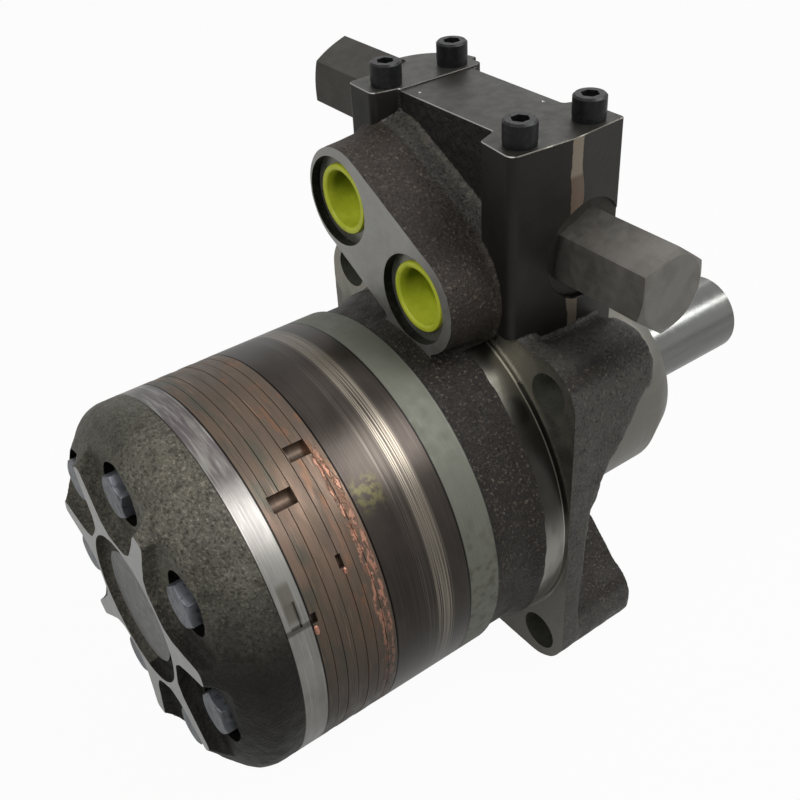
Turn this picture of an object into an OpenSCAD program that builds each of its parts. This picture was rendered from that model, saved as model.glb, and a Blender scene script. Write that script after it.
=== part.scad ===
// Orbital hydraulic motor with a four-bolt flange and a cross-port relief valve tower.
// X is the shaft axis and points out of the shaft end, Z points up through the tower.
// The origin is the centre of the flange's rear face.

/* [Flange and front] */
// Distance between flange bolt holes, across and up
bolt_square = 104.4; // [100:0.2:110]
// Diameter of a flange bolt hole
flange_hole_d = 14.3; // [12:0.1:16]
// Width and height of the flange plate
plate_w = 128.4; // [127.8:0.1:131]
// Radius of the rounded plate corners
corner_r = 15.3; // [13:0.1:17]
// Thickness of the flange plate
flange_t = 7; // [6:0.5:9]
// Reach of the four corner lugs and the hub in front of the rear face
lug_x = 35; // [32:1:38]
// Width of a radial lug
lug_w = 24.4; // [22:0.2:24.6]
// Diameter of the round end of a lug
lug_d = 27.2; // [26:0.2:28]
// Distance between the centres of two round ends, across and up
lug_square = 99.8; // [98:0.2:101]
// Diameter of the round hub between the lugs
hub_d = 96; // [92:1:100]
// Diameter of the machined nose
nose_d = 74.8; // [71:0.1:78]
// Front face of the nose
nose_x = 82; // [80:0.5:84]
// Length of the cone on the front of the nose
nose_cone_l = 10.5; // [8:0.5:12]
// Diameter of the nose's front face
nose_end_d = 64; // [60:0.5:68]
// Diameter of the pilot behind the flange
pilot_d = 127; // [125:0.5:128]
// Length of the pilot
pilot_l = 8; // [6:0.5:10]
// Width of the relief beside the flange
relief_l = 1.2; // [1:0.1:2]
// Depth of the relief beside the flange
relief_t = 0.6; // [0.4:0.1:1]
// Depth of the groove that the relief leaves in the flange's face
relief_face_t = 0.3; // [0.2:0.1:0.5]
// Diameter of the cast body behind the pilot
body_d = 123; // [120:0.5:125]

/* [Stack] */
// Outside diameter of the plates behind the body
stack_d = 125.8; // [124:0.2:128]
// Length of the cast body behind the flange
body_l = 28.5; // [27:0.5:32]
// Thickness of the wear plate
wear_t = 11.6; // [10:0.2:13]
// Thickness of the stator
stator_t = 28; // [26:0.5:32]
// Thickness of the laminated manifold
manifold_t = 25.2; // [22.4:0.7:28]
// Number of sheets in the manifold
sheets = 7; // [5:1:9]
// Width of the brazed seam between two sheets
seam_w = 0.4; // [0.3:0.1:0.6]
// Depth of the brazed seam
seam_t = 0.25; // [0.2:0.05:0.4]
// Thickness of the commutator ring
ring_t = 8.1; // [7:0.1:9]
// Thickness of the end cover
cover_t = 22.1; // [21:0.1:24]

/* [Stack bolts] */
// Number of stack bolts and of rollers
lobes = 7; // [7:1:7]
// Radius of the bolt circle
bolt_circle_r = 44.4; // [44:0.1:46]
// Shank diameter of a stack bolt
bolt_d = 8; // [7:0.5:8.5]
// Width across flats of the bolt head
bolt_af = 13; // [12:0.5:13.5]
// Height of the bolt head with its washer face
bolt_head = 5.6; // [5:0.1:7]
// Chamfer on the bolt head
bolt_head_chamfer = 0.3; // [0.2:0.1:0.6]
// Thread length of the bolt inside the body
bolt_grip = 14; // [12:1:18]
// Clearance round a bolt shank
bolt_gap = 0.3; // [0.2:0.1:0.4]

/* [End cover] */
// Straight rim of the cover before the shoulder
rim_l = 5; // [4:0.5:7]
// Radius of the shoulder
shoulder_r = 10; // [8:0.5:12]
// Radius of the machined end face
face_r = 48.6; // [48:0.2:51]
// Radius of the central disc
disc_r = 20.4; // [18:0.2:22]
// Outer radius of the cast groove round the disc
groove_r = 25; // [24:0.2:26]
// Depth of the groove
groove_t = 2.2; // [1.5:0.1:3]
// Inner radius of the bolt pockets
pocket_r = 28.8; // [28:0.2:30]
// Depth of the bolt pockets
pocket_t = 4.6; // [4:0.2:5.4]
// Half width of a pocket at its inner end
pocket_in = 9.5; // [8:0.5:10]
// Half width of a pocket at its mouth
pocket_out = 19.5; // [18:0.5:20]
// Depth of the bolt seat under the end face
seat_t = 8.1; // [7.5:0.1:9]
// Diameter of the bolt seat
seat_d = 18.4; // [17:0.2:19]

/* [Roller set] */
// Radius of the circle through the roller centres
roller_circle_r = 37; // [36.8:0.1:37.2]
// Diameter of a roller
roller_d = 14; // [13.8:0.1:14.2]
// Eccentricity of the rotor
ecc = 2.9; // [2.8:0.05:3]
// Radius of the stator bore between the rollers
stator_bore_r = 36.3; // [36.2:0.1:36.4]
// Running clearance between rotor and rollers
rotor_gap = 0.1; // [0.08:0.01:0.12]
// Running clearance of a roller in its pocket
roller_gap = 0.04; // [0.03:0.01:0.08]
// End clearance of the rotor and rollers
end_gap = 0.05; // [0.03:0.01:0.1]
// Depth of the round recess at each end of the rotor's splines
rotor_recess_t = 0.8; // [0.5:0.1:1.2]

/* [Drive link] */
// Number of spline teeth
teeth = 12; // [12:1:12]
// Root radius of the link's spline
spline_root_r = 12.4; // [12:0.1:12.6]
// Tip radius of the link's spline
spline_tip_r = 15; // [14.8:0.1:15.2]
// Tooth width at the tip
tooth_tip = 2.4; // [2.2:0.1:2.6]
// Tooth width at the root
tooth_root = 3.6; // [3.4:0.1:3.8]
// Clearance of a spline, for the tilt of the link
spline_gap = 0.4; // [0.38:0.01:0.44]
// Length of a spline on the link
spline_l = 12; // [10:0.5:13]
// Middle of the shaft's spline
spline_x = 12; // [11:0.5:13]
// Waist radius of the link
waist_r = 10.5; // [9:0.5:11.5]
// Radius of the link's rear nose
nose_pin_r = 6.5; // [6:0.1:7]

/* [Commutator] */
// Radius of the commutator
commutator_r = 33; // [32:0.1:33]
// Clearance round the commutator at the end of its orbit
orbit_gap = 0.3; // [0.2:0.05:0.4]
// Clearance of the link's nose in the commutator
nose_gap = 0.35; // [0.3:0.05:0.5]
// Inner radius of the commutator seal
com_seal_r = 26; // [25:0.5:27]
// Width of the commutator seal
com_seal_w = 3; // [2.5:0.5:3.5]

/* [Shaft and bearings] */
// Diameter of the shaft extension
shaft_d = 31.75; // [30:0.25:34]
// Reach of the shaft end from the flange's rear face
shaft_x = 141.8; // [135:0.1:148]
// Chamfer of the shaft end
shaft_chamfer = 1.5; // [1:0.5:2]
// Diameter of the journal inside the nose
journal_d = 38.1; // [37:0.1:39]
// Diameter of the shaft's inner cup
cup_d = 54; // [53:0.5:55]
// Front shoulder of the cup
cup_x = 20; // [19.5:0.5:21]
// Distance from the cup's shoulder back to the inner bearing
shoulder_l = 8; // [7:0.5:9]
// Length of the inner bearing
inner_l = 23.9; // [22:0.1:24]
// Wall of the inner bearing
inner_wall = 4.7; // [4:0.1:5]
// Wall of the outer bearing
outer_wall = 4.7; // [4:0.1:5]
// Running clearance of a journal
journal_gap = 0.05; // [0.03:0.01:0.08]
// Clearance of a seated ring in the housing
seat_gap = 0.02; // [0.01:0.01:0.03]
// Thickness of the thrust bearing
thrust_t = 3; // [2.5:0.5:3.5]
// Thickness of the thrust washer
washer_t = 2; // [1.5:0.5:2.5]
// Thickness of the back-up washer
backup_t = 1.8; // [1.5:0.1:2]
// Thickness of the shaft seal
seal_t = 6.5; // [6:0.5:7]
// Length of the outer bearing
outer_l = 26; // [24:1:27]
// Thickness of the dust seal
dust_t = 7; // [6:0.5:8]
// Small diameter of the centre drilled in the shaft end
centre_d = 3.2; // [2:0.2:5]
// Width of the keyway
key_w = 7.94; // [6:0.1:9]
// Depth of the keyway
key_t = 4; // [3:0.5:5]
// Length of the keyway
key_l = 38; // [30:1:45]

/* [Valve tower] */
// Rear face of the tower's ears
ear_rear_x = -2.6; // [-3:0.1:-2]
// Front face of the tower
tower_front_x = 40.4; // [39.5:0.1:42]
// Near side of the tower
tower_near_y = -38; // [-38.6:0.2:-37.4]
// Far side of the tower
tower_far_y = 41; // [40.4:0.2:42]
// Top of the tower
tower_z = 124.8; // [123:0.2:126]
// Step of the far ear above the rest of the top
ear_step = 0.6; // [0.5:0.1:1]
// Rear face between the ears
waist_rear_x = 5.9; // [5.5:0.1:7]
// Front face between the ears
waist_front_x = 34.9; // [34.5:0.1:36]
// Rear row of tower screws
screw_rear_x = 5.3; // [5:0.1:6]
// Front row of tower screws
screw_front_x = 32; // [31.6:0.1:32.6]
// Tower screws on the near side
screw_near_y = -31.8; // [-32.2:0.1:-31]
// Tower screws on the far side
screw_far_y = 30.8; // [30:0.1:31.4]
// Thread diameter of a tower screw
screw_d = 6; // [5:0.5:6]
// Length of a tower screw in the tower
screw_l = 7; // [6:0.5:7]
// Diameter of the head of a tower screw
screw_head_d = 10.2; // [9:0.1:11]
// Height of the head
screw_head = 6; // [5:0.2:7]
// Thickness of a lock washer
lock_t = 1.5; // [1:0.1:2]

/* [Ports] */
// Face of the port boss
port_x = -20; // [-21:0.5:-18]
// Sideways place of the upper port
upper_port_y = 25.6; // [25:0.1:26.4]
// Height of the upper port
upper_port_z = 95; // [94:0.1:96]
// Sideways place of the lower port
lower_port_y = -12.3; // [-13:0.1:-12]
// Height of the lower port
lower_port_z = 75.8; // [75:0.1:76.4]
// Radius of the port boss
boss_r = 17.7; // [17:0.1:18.5]
// Sideways centre of the boss's upper end
boss_upper_y = 23.5; // [23:0.1:25]
// Height of the boss's upper end
boss_upper_z = 95.6; // [95:0.1:96]
// Diameter of the port recess
recess_d = 29.6; // [28.6:0.2:30.4]
// Depth of the port recess
recess_t = 3.2; // [2.8:0.1:3.6]
// Diameter of the port bore
port_d = 20.6; // [19:0.2:21]
// Depth of the port bore behind the recess
port_l = 22; // [20:1:23]
// Rim diameter of a port plug
plug_rim_d = 23.2; // [22.4:0.2:24]
// Rim thickness of a port plug
plug_rim_t = 1.2; // [1:0.1:1.6]
// Length of a port plug inside the bore
plug_l = 12; // [10:0.5:14]
// Wall of a port plug
plug_wall = 1; // [0.8:0.1:1.2]
// Clearance of a plug in its bore
plug_gap = 0.06; // [0.04:0.01:0.1]

/* [Relief valves] */
// Width across flats of a relief cap
cap_af = 24; // [23.6:0.2:24.6]
// Length of the hexagon
cap_l = 35; // [30:1:38]
// Chamfer on the end of the hexagon
cap_chamfer = 1.2; // [1:0.2:2]
// Diameter of a cap's thread
cap_thread_d = 14; // [13.6:0.2:14]
// Length of a cap's thread
cap_thread_l = 13; // [12:0.5:14]
// Bore of a cap
cap_bore_d = 9.6; // [9:0.1:10]
// Depth of a cap's bore outside the tower
cap_bore_l = 26; // [22:1:27]
// Diameter of the machined seat round a cap
cap_seat_d = 29.4; // [29:0.2:30]
// Forward place of the near cap
near_cap_x = 27.8; // [27:0.1:28]
// Height of the near cap
near_cap_z = 86.1; // [85.5:0.1:87]
// Turn of the near hexagon
near_cap_turn = -22.5; // [-60:0.5:60]
// Forward place of the far cap
far_cap_x = 20; // [19.5:0.1:22]
// Height of the far cap
far_cap_z = 112.5; // [112:0.1:114.4]
// Turn of the far hexagon
far_cap_turn = 25; // [-60:0.5:60]
// Seat of the near cap
near_seat_y = -37.2; // [-38:0.2:-36.8]
// Seat of the far cap
far_seat_y = 43.2; // [42:0.1:43.5]
// Forward place of the cast boss round the far cap
far_boss_x = 21.6; // [21:0.1:22]
// Radius of the cast boss round the far cap
far_boss_r = 20; // [18:0.5:21]
// Wire diameter of a relief spring
wire_d = 1.3; // [1:0.1:1.4]
// Working turns of a relief spring
turns = 7; // [5:1:9]
// Opening travel of a poppet
poppet_lift = 1.5; // [1:0.1:2]

/* [Hidden] */
$fn = 96;
// Overlap that keeps cuts and joined forms clean
eps = 0.01;
// Through cuts pass this far beyond a surface
past = 1;

// Plate boundaries along the shaft, from the body to the rear
x_body = -body_l;
x_wear = x_body - wear_t;
x_stator = x_wear - stator_t;
x_manifold = x_stator - manifold_t;
x_ring = x_manifold - ring_t;
x_cover = x_ring - cover_t;

// Link geometry: it runs from the shaft's spline through the rotor to the commutator
rotor_x = (x_wear + x_stator) / 2;
commutator_x = (x_manifold + x_ring) / 2;
link_l = spline_x - rotor_x;
tilt = asin(ecc / link_l);
commutator_ecc = ecc * (spline_x - commutator_x) / link_l;
commutator_bore_r = commutator_r + commutator_ecc + orbit_gap;
link_hole_r = nose_pin_r + commutator_ecc + 1.2;

// Bores of the housing
inner_seat_r = cup_d / 2 + inner_wall + journal_gap;
outer_seat_r = journal_d / 2 + outer_wall + journal_gap;
thrust_x = cup_x + end_gap;
washer_x = thrust_x + thrust_t + end_gap;
seal_floor_x = washer_x + washer_t + end_gap;
seal_x = seal_floor_x + backup_t + end_gap;
web_x = seal_x + seal_t + end_gap;
web_t = 8.4;
outer_x = web_x + web_t;
dust_x = outer_x + outer_l + end_gap;
thrust_r = cup_d / 2 + 0.6;
shaft_seal_r = outer_seat_r + 0.4;
dust_seal_r = outer_seat_r + 2.4;

// Seals between the plates, outside the bolts
body_seal_wall = 4.6;
body_seal_r = bolt_circle_r + bolt_d / 2 + body_seal_wall;
body_seal_w = 2.2;
body_seal_t = 1.5;
body_seal_gap = 0.1;

// A solid laid along the shaft: its own +X points down and its +Y points to +Y
module along_x(x) translate([x, 0, 0]) rotate([0, 90, 0]) children();
module disc(x0, x1, r) along_x(x0) cylinder(h = x1 - x0, r = r);
module tube(x0, x1, r_out, r_in) difference() {
  disc(x0, x1, r_out);
  disc(x0 - past, x1 + past, r_in);
}
// Copies round the shaft, the first at the top when start is 180
module around(n, r, start = 0) for (i = [0 : n - 1]) rotate([i * 360 / n + start, 0, 0]) translate([0, 0, -r]) children();
module bolt_holes(x0, x1, r) around(lobes, bolt_circle_r, 180) disc(x0, x1, r);

// Points of an arc about a centre
function arc(c, r, a0, a1, n) = [for (i = [0 : n]) let (a = a0 + (a1 - a0) * i / n) c + r * [cos(a), sin(a)]];
// Outline through [x, y, radius] corners, each rounded by its radius
function unit(v) = v / norm(v);
function corner(a, b, c, r, n) =
  let (u = unit(a - b), v = unit(c - b), half = acos(u * v) / 2, m = unit(u + v),
       centre = b + m * r / sin(half), side = u[0] * v[1] - u[1] * v[0] > 0 ? 1 : -1,
       mid = atan2(-m[1], -m[0]), sweep = (90 - half) * side)
  [for (i = [0 : n]) let (t = mid + sweep - 2 * sweep * i / n) centre + r * [cos(t), sin(t)]];
function xy(p) = [p[0], p[1]];
function rounded(p, n = 6) = [for (i = [0 : len(p) - 1])
  let (a = p[(i + len(p) - 1) % len(p)], b = p[i], c = p[(i + 1) % len(p)])
  each b[2] > 0 ? corner(xy(a), xy(b), xy(c), b[2], n) : [xy(b)]];

// Rotor outline: the path of a roller centre seen from the rotor, moved in by a roller and its gap
function path(t) = roller_circle_r * [cos(t), sin(t)] - ecc * [cos(lobes * t), sin(lobes * t)];
function heading(t) = unit(roller_circle_r * [-sin(t), cos(t)] - lobes * ecc * [-sin(lobes * t), cos(lobes * t)]);
rotor_points = [for (i = [0 : 251]) let (t = i * 360 / 252, h = heading(t))
  path(t) + (roller_d / 2 + rotor_gap) * [-h[1], h[0]]];

// Spline outline, grown by a clearance for the inner spline
function spline_points(grow) = [for (i = [0 : teeth - 1])
  each [for (q = [[spline_root_r, -tooth_root], [spline_tip_r, -tooth_tip], [spline_tip_r, tooth_tip], [spline_root_r, tooth_root]])
    let (r = q[0] + grow, w = q[1] / 2 + sign(q[1]) * grow, a = i * 360 / teeth)
    [r * cos(a) - w * sin(a), r * sin(a) + w * cos(a)]]];

// Housing
hub_x = lug_x - 1;
module flange_plate() along_x(0) linear_extrude(flange_t) {
  square([plate_w, plate_w - 2 * corner_r], center = true);
  square([plate_w - 2 * corner_r, plate_w], center = true);
  for (y = [-1, 1], z = [-1, 1]) translate([z, y] * (plate_w / 2 - corner_r)) circle(corner_r);
}
module lugs() along_x(0) linear_extrude(lug_x) {
  for (a = [45, 135]) rotate(a) square([lug_square * sqrt(2), lug_w], center = true);
  for (y = [-1, 1], z = [-1, 1]) translate([z, y] * lug_square / 2) circle(lug_d / 2);
}
module nose() rotate([0, 90, 0]) rotate_extrude() polygon(concat(
  [[0, 0], [hub_d / 2, 0], [hub_d / 2, hub_x - 4]],
  arc([hub_d / 2 - 4, hub_x - 4], 4, 0, 90, 6),
  [[nose_d / 2 + 5, hub_x]],
  arc([nose_d / 2 + 5, hub_x + 5], 5, 270, 180, 6),
  [[nose_d / 2, nose_x - nose_cone_l], [nose_end_d / 2, nose_x], [0, nose_x]]));
module port_boss() along_x(port_x) linear_extrude(waist_rear_x + 2 - port_x) {
  upper = [-boss_upper_z, boss_upper_y];
  lower = [-lower_port_z, lower_port_y];
  span = upper - lower;
  for (p = [upper, lower]) translate(p) circle(boss_r);
  translate(lower) rotate(atan2(span[1], span[0])) translate([0, -boss_r]) square([norm(span), 2 * boss_r]);
}
tower_outline = [
  [ear_rear_x - 0.6, tower_near_y + 0.3, 3], [20, tower_near_y - 1.6, 30], [tower_front_x, tower_near_y, 3],
  [tower_front_x, -20.5, 2], [waist_front_x, -18, 2], [waist_front_x, 23.4, 2], [tower_front_x - 1, 25, 2],
  [tower_front_x - 1, tower_far_y, 3], [ear_rear_x, tower_far_y, 2], [ear_rear_x - 0.8, 27, 4],
  [waist_rear_x, 24.8, 1.5], [waist_rear_x, -19.8, 1.5], [ear_rear_x + 1.2, -22.6, 1]];
tower_base_z = 48;
module tower() difference() {
  union() {
    translate([0, 0, tower_base_z]) linear_extrude(tower_z + ear_step - tower_base_z) polygon(rounded(tower_outline));
    intersection() {
      translate([far_boss_x, tower_far_y - 13.5, far_cap_z - 20]) cylinder(h = tower_z + ear_step - far_cap_z + 20, r = far_boss_r);
      translate([-20, 30, 0]) cube([80, 40, 200]);
    }
  }
  translate([-20, tower_near_y - 10, tower_z]) cube([80, 24.2 - tower_near_y + 10, 10]);
  translate([-20, -60, 0]) cube([20, 120, plate_w / 2 + past]);
}
// Tools for the two valve bores, laid out from the seat inwards along +Z
module valve_cut() {
  translate([0, 0, -12]) cylinder(h = 12, d = cap_seat_d);
  cylinder(h = cap_thread_l + 2, d = cap_thread_d + 0.04);
  cylinder(h = 2.4, d = cap_thread_d + 4.4);
  cylinder(h = seat_end, d = relief_seat_d + 0.04);
  cylinder(h = seat_end + 14, d = 5);
}
relief_seat_d = 11.4;
seat_start = cap_thread_l + 3;
seat_end = seat_start + 8;
module at_near() translate([near_cap_x, near_seat_y, near_cap_z]) rotate([-90, 0, 0]) children();
module at_far() translate([far_cap_x, far_seat_y, far_cap_z]) rotate([90, 0, 0]) children();
module at_ports() {
  translate([0, upper_port_y, upper_port_z]) children();
  translate([0, lower_port_y, lower_port_z]) children();
}
module housing() color("#4a4641") difference() {
  union() {
    disc(x_body, -pilot_l + eps, body_d / 2);
    disc(-pilot_l, -relief_l + eps, pilot_d / 2);
    disc(-relief_l, eps, pilot_d / 2 - relief_t);
    flange_plate();
    lugs();
    nose();
    port_boss();
    tower();
  }
  for (y = [-1, 1], z = [-1, 1]) translate([0, y, z] * bolt_square / 2) disc(-past, lug_x + past, flange_hole_d / 2);
  tube(-past, relief_face_t, (pilot_d + relief_t) / 2, pilot_d / 2 - relief_t);
  disc(x_body - past, cup_x - shoulder_l, inner_seat_r);
  disc(x_body, seal_floor_x, thrust_r + seat_gap);
  disc(seal_floor_x - past, web_x, shaft_seal_r + seat_gap);
  disc(web_x - past, nose_x + past, journal_d / 2 + 0.6);
  disc(outer_x, nose_x + past, outer_seat_r + seat_gap);
  disc(dust_x, nose_x + past, dust_seal_r + seat_gap);
  bolt_holes(x_body - past, x_body + bolt_grip + 1, bolt_d / 2 + seat_gap);
  tube(x_body - past, x_body + body_seal_t + body_seal_gap, body_seal_r + body_seal_w + body_seal_gap, body_seal_r - body_seal_gap);
  at_ports() disc(port_x - past, port_x + recess_t, recess_d / 2);
  at_ports() disc(port_x, port_x + recess_t + port_l, port_d / 2);
  at_near() valve_cut();
  at_far() valve_cut();
  at_screws() translate([0, 0, -screw_l - 1]) cylinder(h = screw_l + 10, d = screw_d + 0.04);
}

// End cover
module cover_form() rotate([0, -90, 0]) rotate_extrude() polygon(let (
    h = -x_ring, edge = stack_d / 2, y1 = h + rim_l)
  concat([[0, h], [edge, h], [edge, y1]],
    arc([edge - shoulder_r, y1], shoulder_r, 0, 45, 8),
    [[face_r, h + cover_t - 0.3], [face_r - 0.3, h + cover_t], [0, h + cover_t]]));
pocket_outline = [[-pocket_r, -pocket_in, 5], [-pocket_r, pocket_in, 5], [-bolt_circle_r - 1, pocket_out, 6],
  [-face_r - 6, 12, 0], [-face_r - 6, -12, 0], [-bolt_circle_r - 1, -pocket_out, 6]];
module end_cover() color("#5b554b") difference() {
  cover_form();
  difference() {
    disc(x_cover - past, x_cover + groove_t, groove_r);
    disc(x_cover - past, x_cover + groove_t + past, disc_r);
  }
  for (i = [0 : lobes - 1]) rotate([i * 360 / lobes, 0, 0])
    along_x(x_cover - past) linear_extrude(pocket_t + past) polygon(rounded(pocket_outline));
  around(lobes, bolt_circle_r, 180) disc(x_cover - past, x_cover + seat_t, seat_d / 2);
  bolt_holes(x_cover, x_ring + past, bolt_d / 2 + bolt_gap);
  tube(x_ring - body_seal_t - body_seal_gap, x_ring + past, body_seal_r + body_seal_w + body_seal_gap, body_seal_r - body_seal_gap);
}
module end_cover_bolts() color("#1d1d1f") around(lobes, bolt_circle_r, 180) {
  disc(x_cover + seat_t - 1, x_cover + seat_t, bolt_af / 2 + 0.9);
  along_x(x_cover + seat_t - bolt_head) intersection() {
    rotate(30) cylinder(h = bolt_head, d = bolt_af / cos(30), $fn = 6);
    cylinder(h = bolt_head, r1 = bolt_af / 2 - bolt_head_chamfer, r2 = bolt_af / 2 + 2 * bolt_head);
  }
  disc(x_cover + seat_t - eps, x_body + bolt_grip, bolt_d / 2);
}

// Plates behind the body
module plate(x0, x1) difference() {
  disc(x0, x1, stack_d / 2);
  bolt_holes(x0 - past, x1 + past, bolt_d / 2 + bolt_gap);
}
module seal_groove(x) tube(x - body_seal_t - body_seal_gap, x + past, body_seal_r + body_seal_w + body_seal_gap, body_seal_r - body_seal_gap);
module commutator_ring() color("#a9a7a2") difference() {
  plate(x_ring, x_manifold);
  disc(x_ring - past, x_manifold + past, commutator_bore_r);
  seal_groove(x_manifold);
  rotate([65, 0, 0]) translate([x_ring + 2, -4, stack_d / 2 - 1]) cube([3.4, 8, 4]);
}
module commutator() color("#8d8a84") translate([0, 0, -commutator_ecc]) difference() {
  disc(x_ring + end_gap, x_manifold - end_gap, commutator_r);
  disc(x_ring - past, x_manifold + past, nose_pin_r + nose_gap);
  tube(x_ring, x_ring + end_gap + 2.6, com_seal_r + com_seal_w + 0.1, com_seal_r - 0.1);
  tube(x_manifold - end_gap - 2, x_manifold, 21, 14);
  around(8, 17.5) disc(x_ring - past, x_manifold + past, 2.2);
}
module commutator_seal() color("#26241f") translate([0, 0, -commutator_ecc])
  tube(x_ring + end_gap, x_ring + end_gap + 2.5, com_seal_r + com_seal_w, com_seal_r);
// Window cut in the edge of some sheets: [first sheet, sheets, angle from the top, width in degrees]
edge_windows = [[4, 2, 27, 5], [1, 2, 37.5, 5]];
module manifold() color("#9a6f5c") difference() {
  plate(x_manifold, x_stator);
  disc(x_manifold - past, x_stator + past, link_hole_r);
  around(lobes, 30, 180) disc(x_manifold - past, x_stator + past, 2.6);
  sheet_t = manifold_t / sheets;
  for (i = [1 : sheets - 1])
    tube(x_manifold + i * sheet_t - seam_w / 2, x_manifold + i * sheet_t + seam_w / 2, stack_d, stack_d / 2 - seam_t);
  for (w = edge_windows) rotate([w[2], 0, 0])
    translate([x_manifold + w[0] * sheet_t, -stack_d / 4 * w[3] * PI / 180, stack_d / 2 - 1.6])
      cube([w[1] * sheet_t, stack_d / 2 * w[3] * PI / 180, 4]);
  seal_groove(x_stator);
}
module stator() color("#45403c") difference() {
  plate(x_stator, x_wear);
  disc(x_stator - past, x_wear + past, stator_bore_r);
  around(lobes, roller_circle_r) disc(x_stator - past, x_wear + past, roller_d / 2 + roller_gap);
  seal_groove(x_wear);
}
module rotor() color("#b5b2ac") translate([0, 0, -ecc]) difference() {
  along_x(x_stator + end_gap) linear_extrude(stator_t - 2 * end_gap) polygon(rotor_points);
  along_x(x_stator) linear_extrude(stator_t) polygon(spline_points(spline_gap));
  disc(x_stator, x_stator + end_gap + rotor_recess_t, spline_tip_r + rotor_recess_t);
  disc(x_wear - end_gap - rotor_recess_t, x_wear, spline_tip_r + rotor_recess_t);
}
module roller(i) color("#c3c1bb") rotate([(i - 1) * 360 / lobes, 0, 0]) translate([0, 0, -roller_circle_r])
  difference() {
    disc(x_stator + end_gap, x_wear - end_gap, roller_d / 2);
    disc(x_stator, x_stator + end_gap + 0.6, 2);
  }
module wear_plate() color("#9c9a92") difference() {
  plate(x_wear, x_body);
  disc(x_wear - past, x_body + past, spline_tip_r + ecc + 2);
  tube(x_wear - past, x_wear + 0.4, 29, 25);
}

// Drive link, laid out backwards from the middle of the shaft's spline
module link_spline(d) translate([-d - spline_l / 2, 0, 0]) rotate([0, 90, 0]) linear_extrude(spline_l) polygon(spline_points(0));
module drive_link() color("#8f8c86") translate([spline_x, 0, 0]) rotate([0, -tilt, 0]) {
  nose_end = spline_x - x_ring - 3;
  link_spline(0);
  link_spline(link_l);
  disc(-link_l, 0, waist_r);
  disc(-link_l - spline_l / 2 - 6, -link_l, spline_root_r - 1.5);
  disc(-nose_end + 1, -link_l, nose_pin_r);
  translate([-nose_end, 0, 0]) rotate([0, 90, 0]) cylinder(h = 1 + eps, r1 = nose_pin_r - 1, r2 = nose_pin_r);
}

// Shaft and what carries it
module output_shaft() color("#c9c7c2") difference() {
  union() {
    disc(x_body + 0.7, cup_x, cup_d / 2);
    disc(cup_x - eps, nose_x, journal_d / 2);
    disc(nose_x - eps, shaft_x - shaft_chamfer, shaft_d / 2);
    along_x(shaft_x - shaft_chamfer - eps)
      cylinder(h = shaft_chamfer + eps, r1 = shaft_d / 2, r2 = shaft_d / 2 - shaft_chamfer);
  }
  disc(x_body, spline_x - spline_l / 2 - 1, spline_tip_r + spline_gap + 3.5);
  disc(x_body, spline_x + spline_l / 2 + 2, spline_root_r + spline_gap);
  along_x(spline_x - spline_l) linear_extrude(1.5 * spline_l + 1) polygon(spline_points(spline_gap));
  along_x(shaft_x - 2 * centre_d) cylinder(h = 2 * centre_d + past, d = centre_d);
  along_x(shaft_x - centre_d) cylinder(h = centre_d + eps, r1 = centre_d / 2, r2 = centre_d / 2 + centre_d * tan(30));
  rotate([-135, 0, 0]) translate([shaft_x - key_l, -key_w / 2, shaft_d / 2 - key_t]) cube([key_l + past, key_w, key_t + past]);
}
module cage(x0, x1, r_out, r_in, n, pin_r) {
  difference() {
    tube(x0, x1, r_out, r_in);
    tube(x0 + 1.5, x1 - 1.5, r_in + 2 * pin_r, r_in - past);
  }
  around(n, r_in + pin_r) disc(x0 + 1.6, x1 - 1.6, pin_r - 0.02);
}
module inner_bearing() color("#b9b6af") cage(cup_x - shoulder_l - end_gap - inner_l, cup_x - shoulder_l - end_gap, inner_seat_r - seat_gap, cup_d / 2 + journal_gap, 24, 1.5);
module outer_bearing() color("#b9b6af") cage(outer_x + end_gap, outer_x + outer_l, outer_seat_r, journal_d / 2 + journal_gap, 20, 1.5);
module thrust_bearing() color("#b9b6af") tube(thrust_x, thrust_x + thrust_t, thrust_r, journal_d / 2 + journal_gap);
module thrust_washer() color("#a19e97") tube(washer_x, washer_x + washer_t, thrust_r, journal_d / 2 + 0.3);
module backup_washer() color("#a19e97") tube(seal_floor_x, seal_floor_x + backup_t, shaft_seal_r, journal_d / 2 + 0.3);
module shaft_seal() color("#2b2926") difference() {
  tube(seal_x, seal_x + seal_t, shaft_seal_r, journal_d / 2 + journal_gap);
  tube(seal_x - past, seal_x + seal_t - 2, shaft_seal_r - 1.4, journal_d / 2 + 1.6);
}
module dust_seal() color("#2b2926") difference() {
  tube(dust_x, dust_x + dust_t, dust_seal_r, journal_d / 2 + journal_gap);
  tube(dust_x + 2, dust_x + dust_t + past, dust_seal_r - 1.6, journal_d / 2 + 1.8);
}
module body_seals() color("#26241f") {
  for (x = [x_ring, x_manifold, x_stator, x_wear]) tube(x - body_seal_t, x, body_seal_r + body_seal_w, body_seal_r);
  tube(x_body, x_body + body_seal_t, body_seal_r + body_seal_w, body_seal_r);
}

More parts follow.
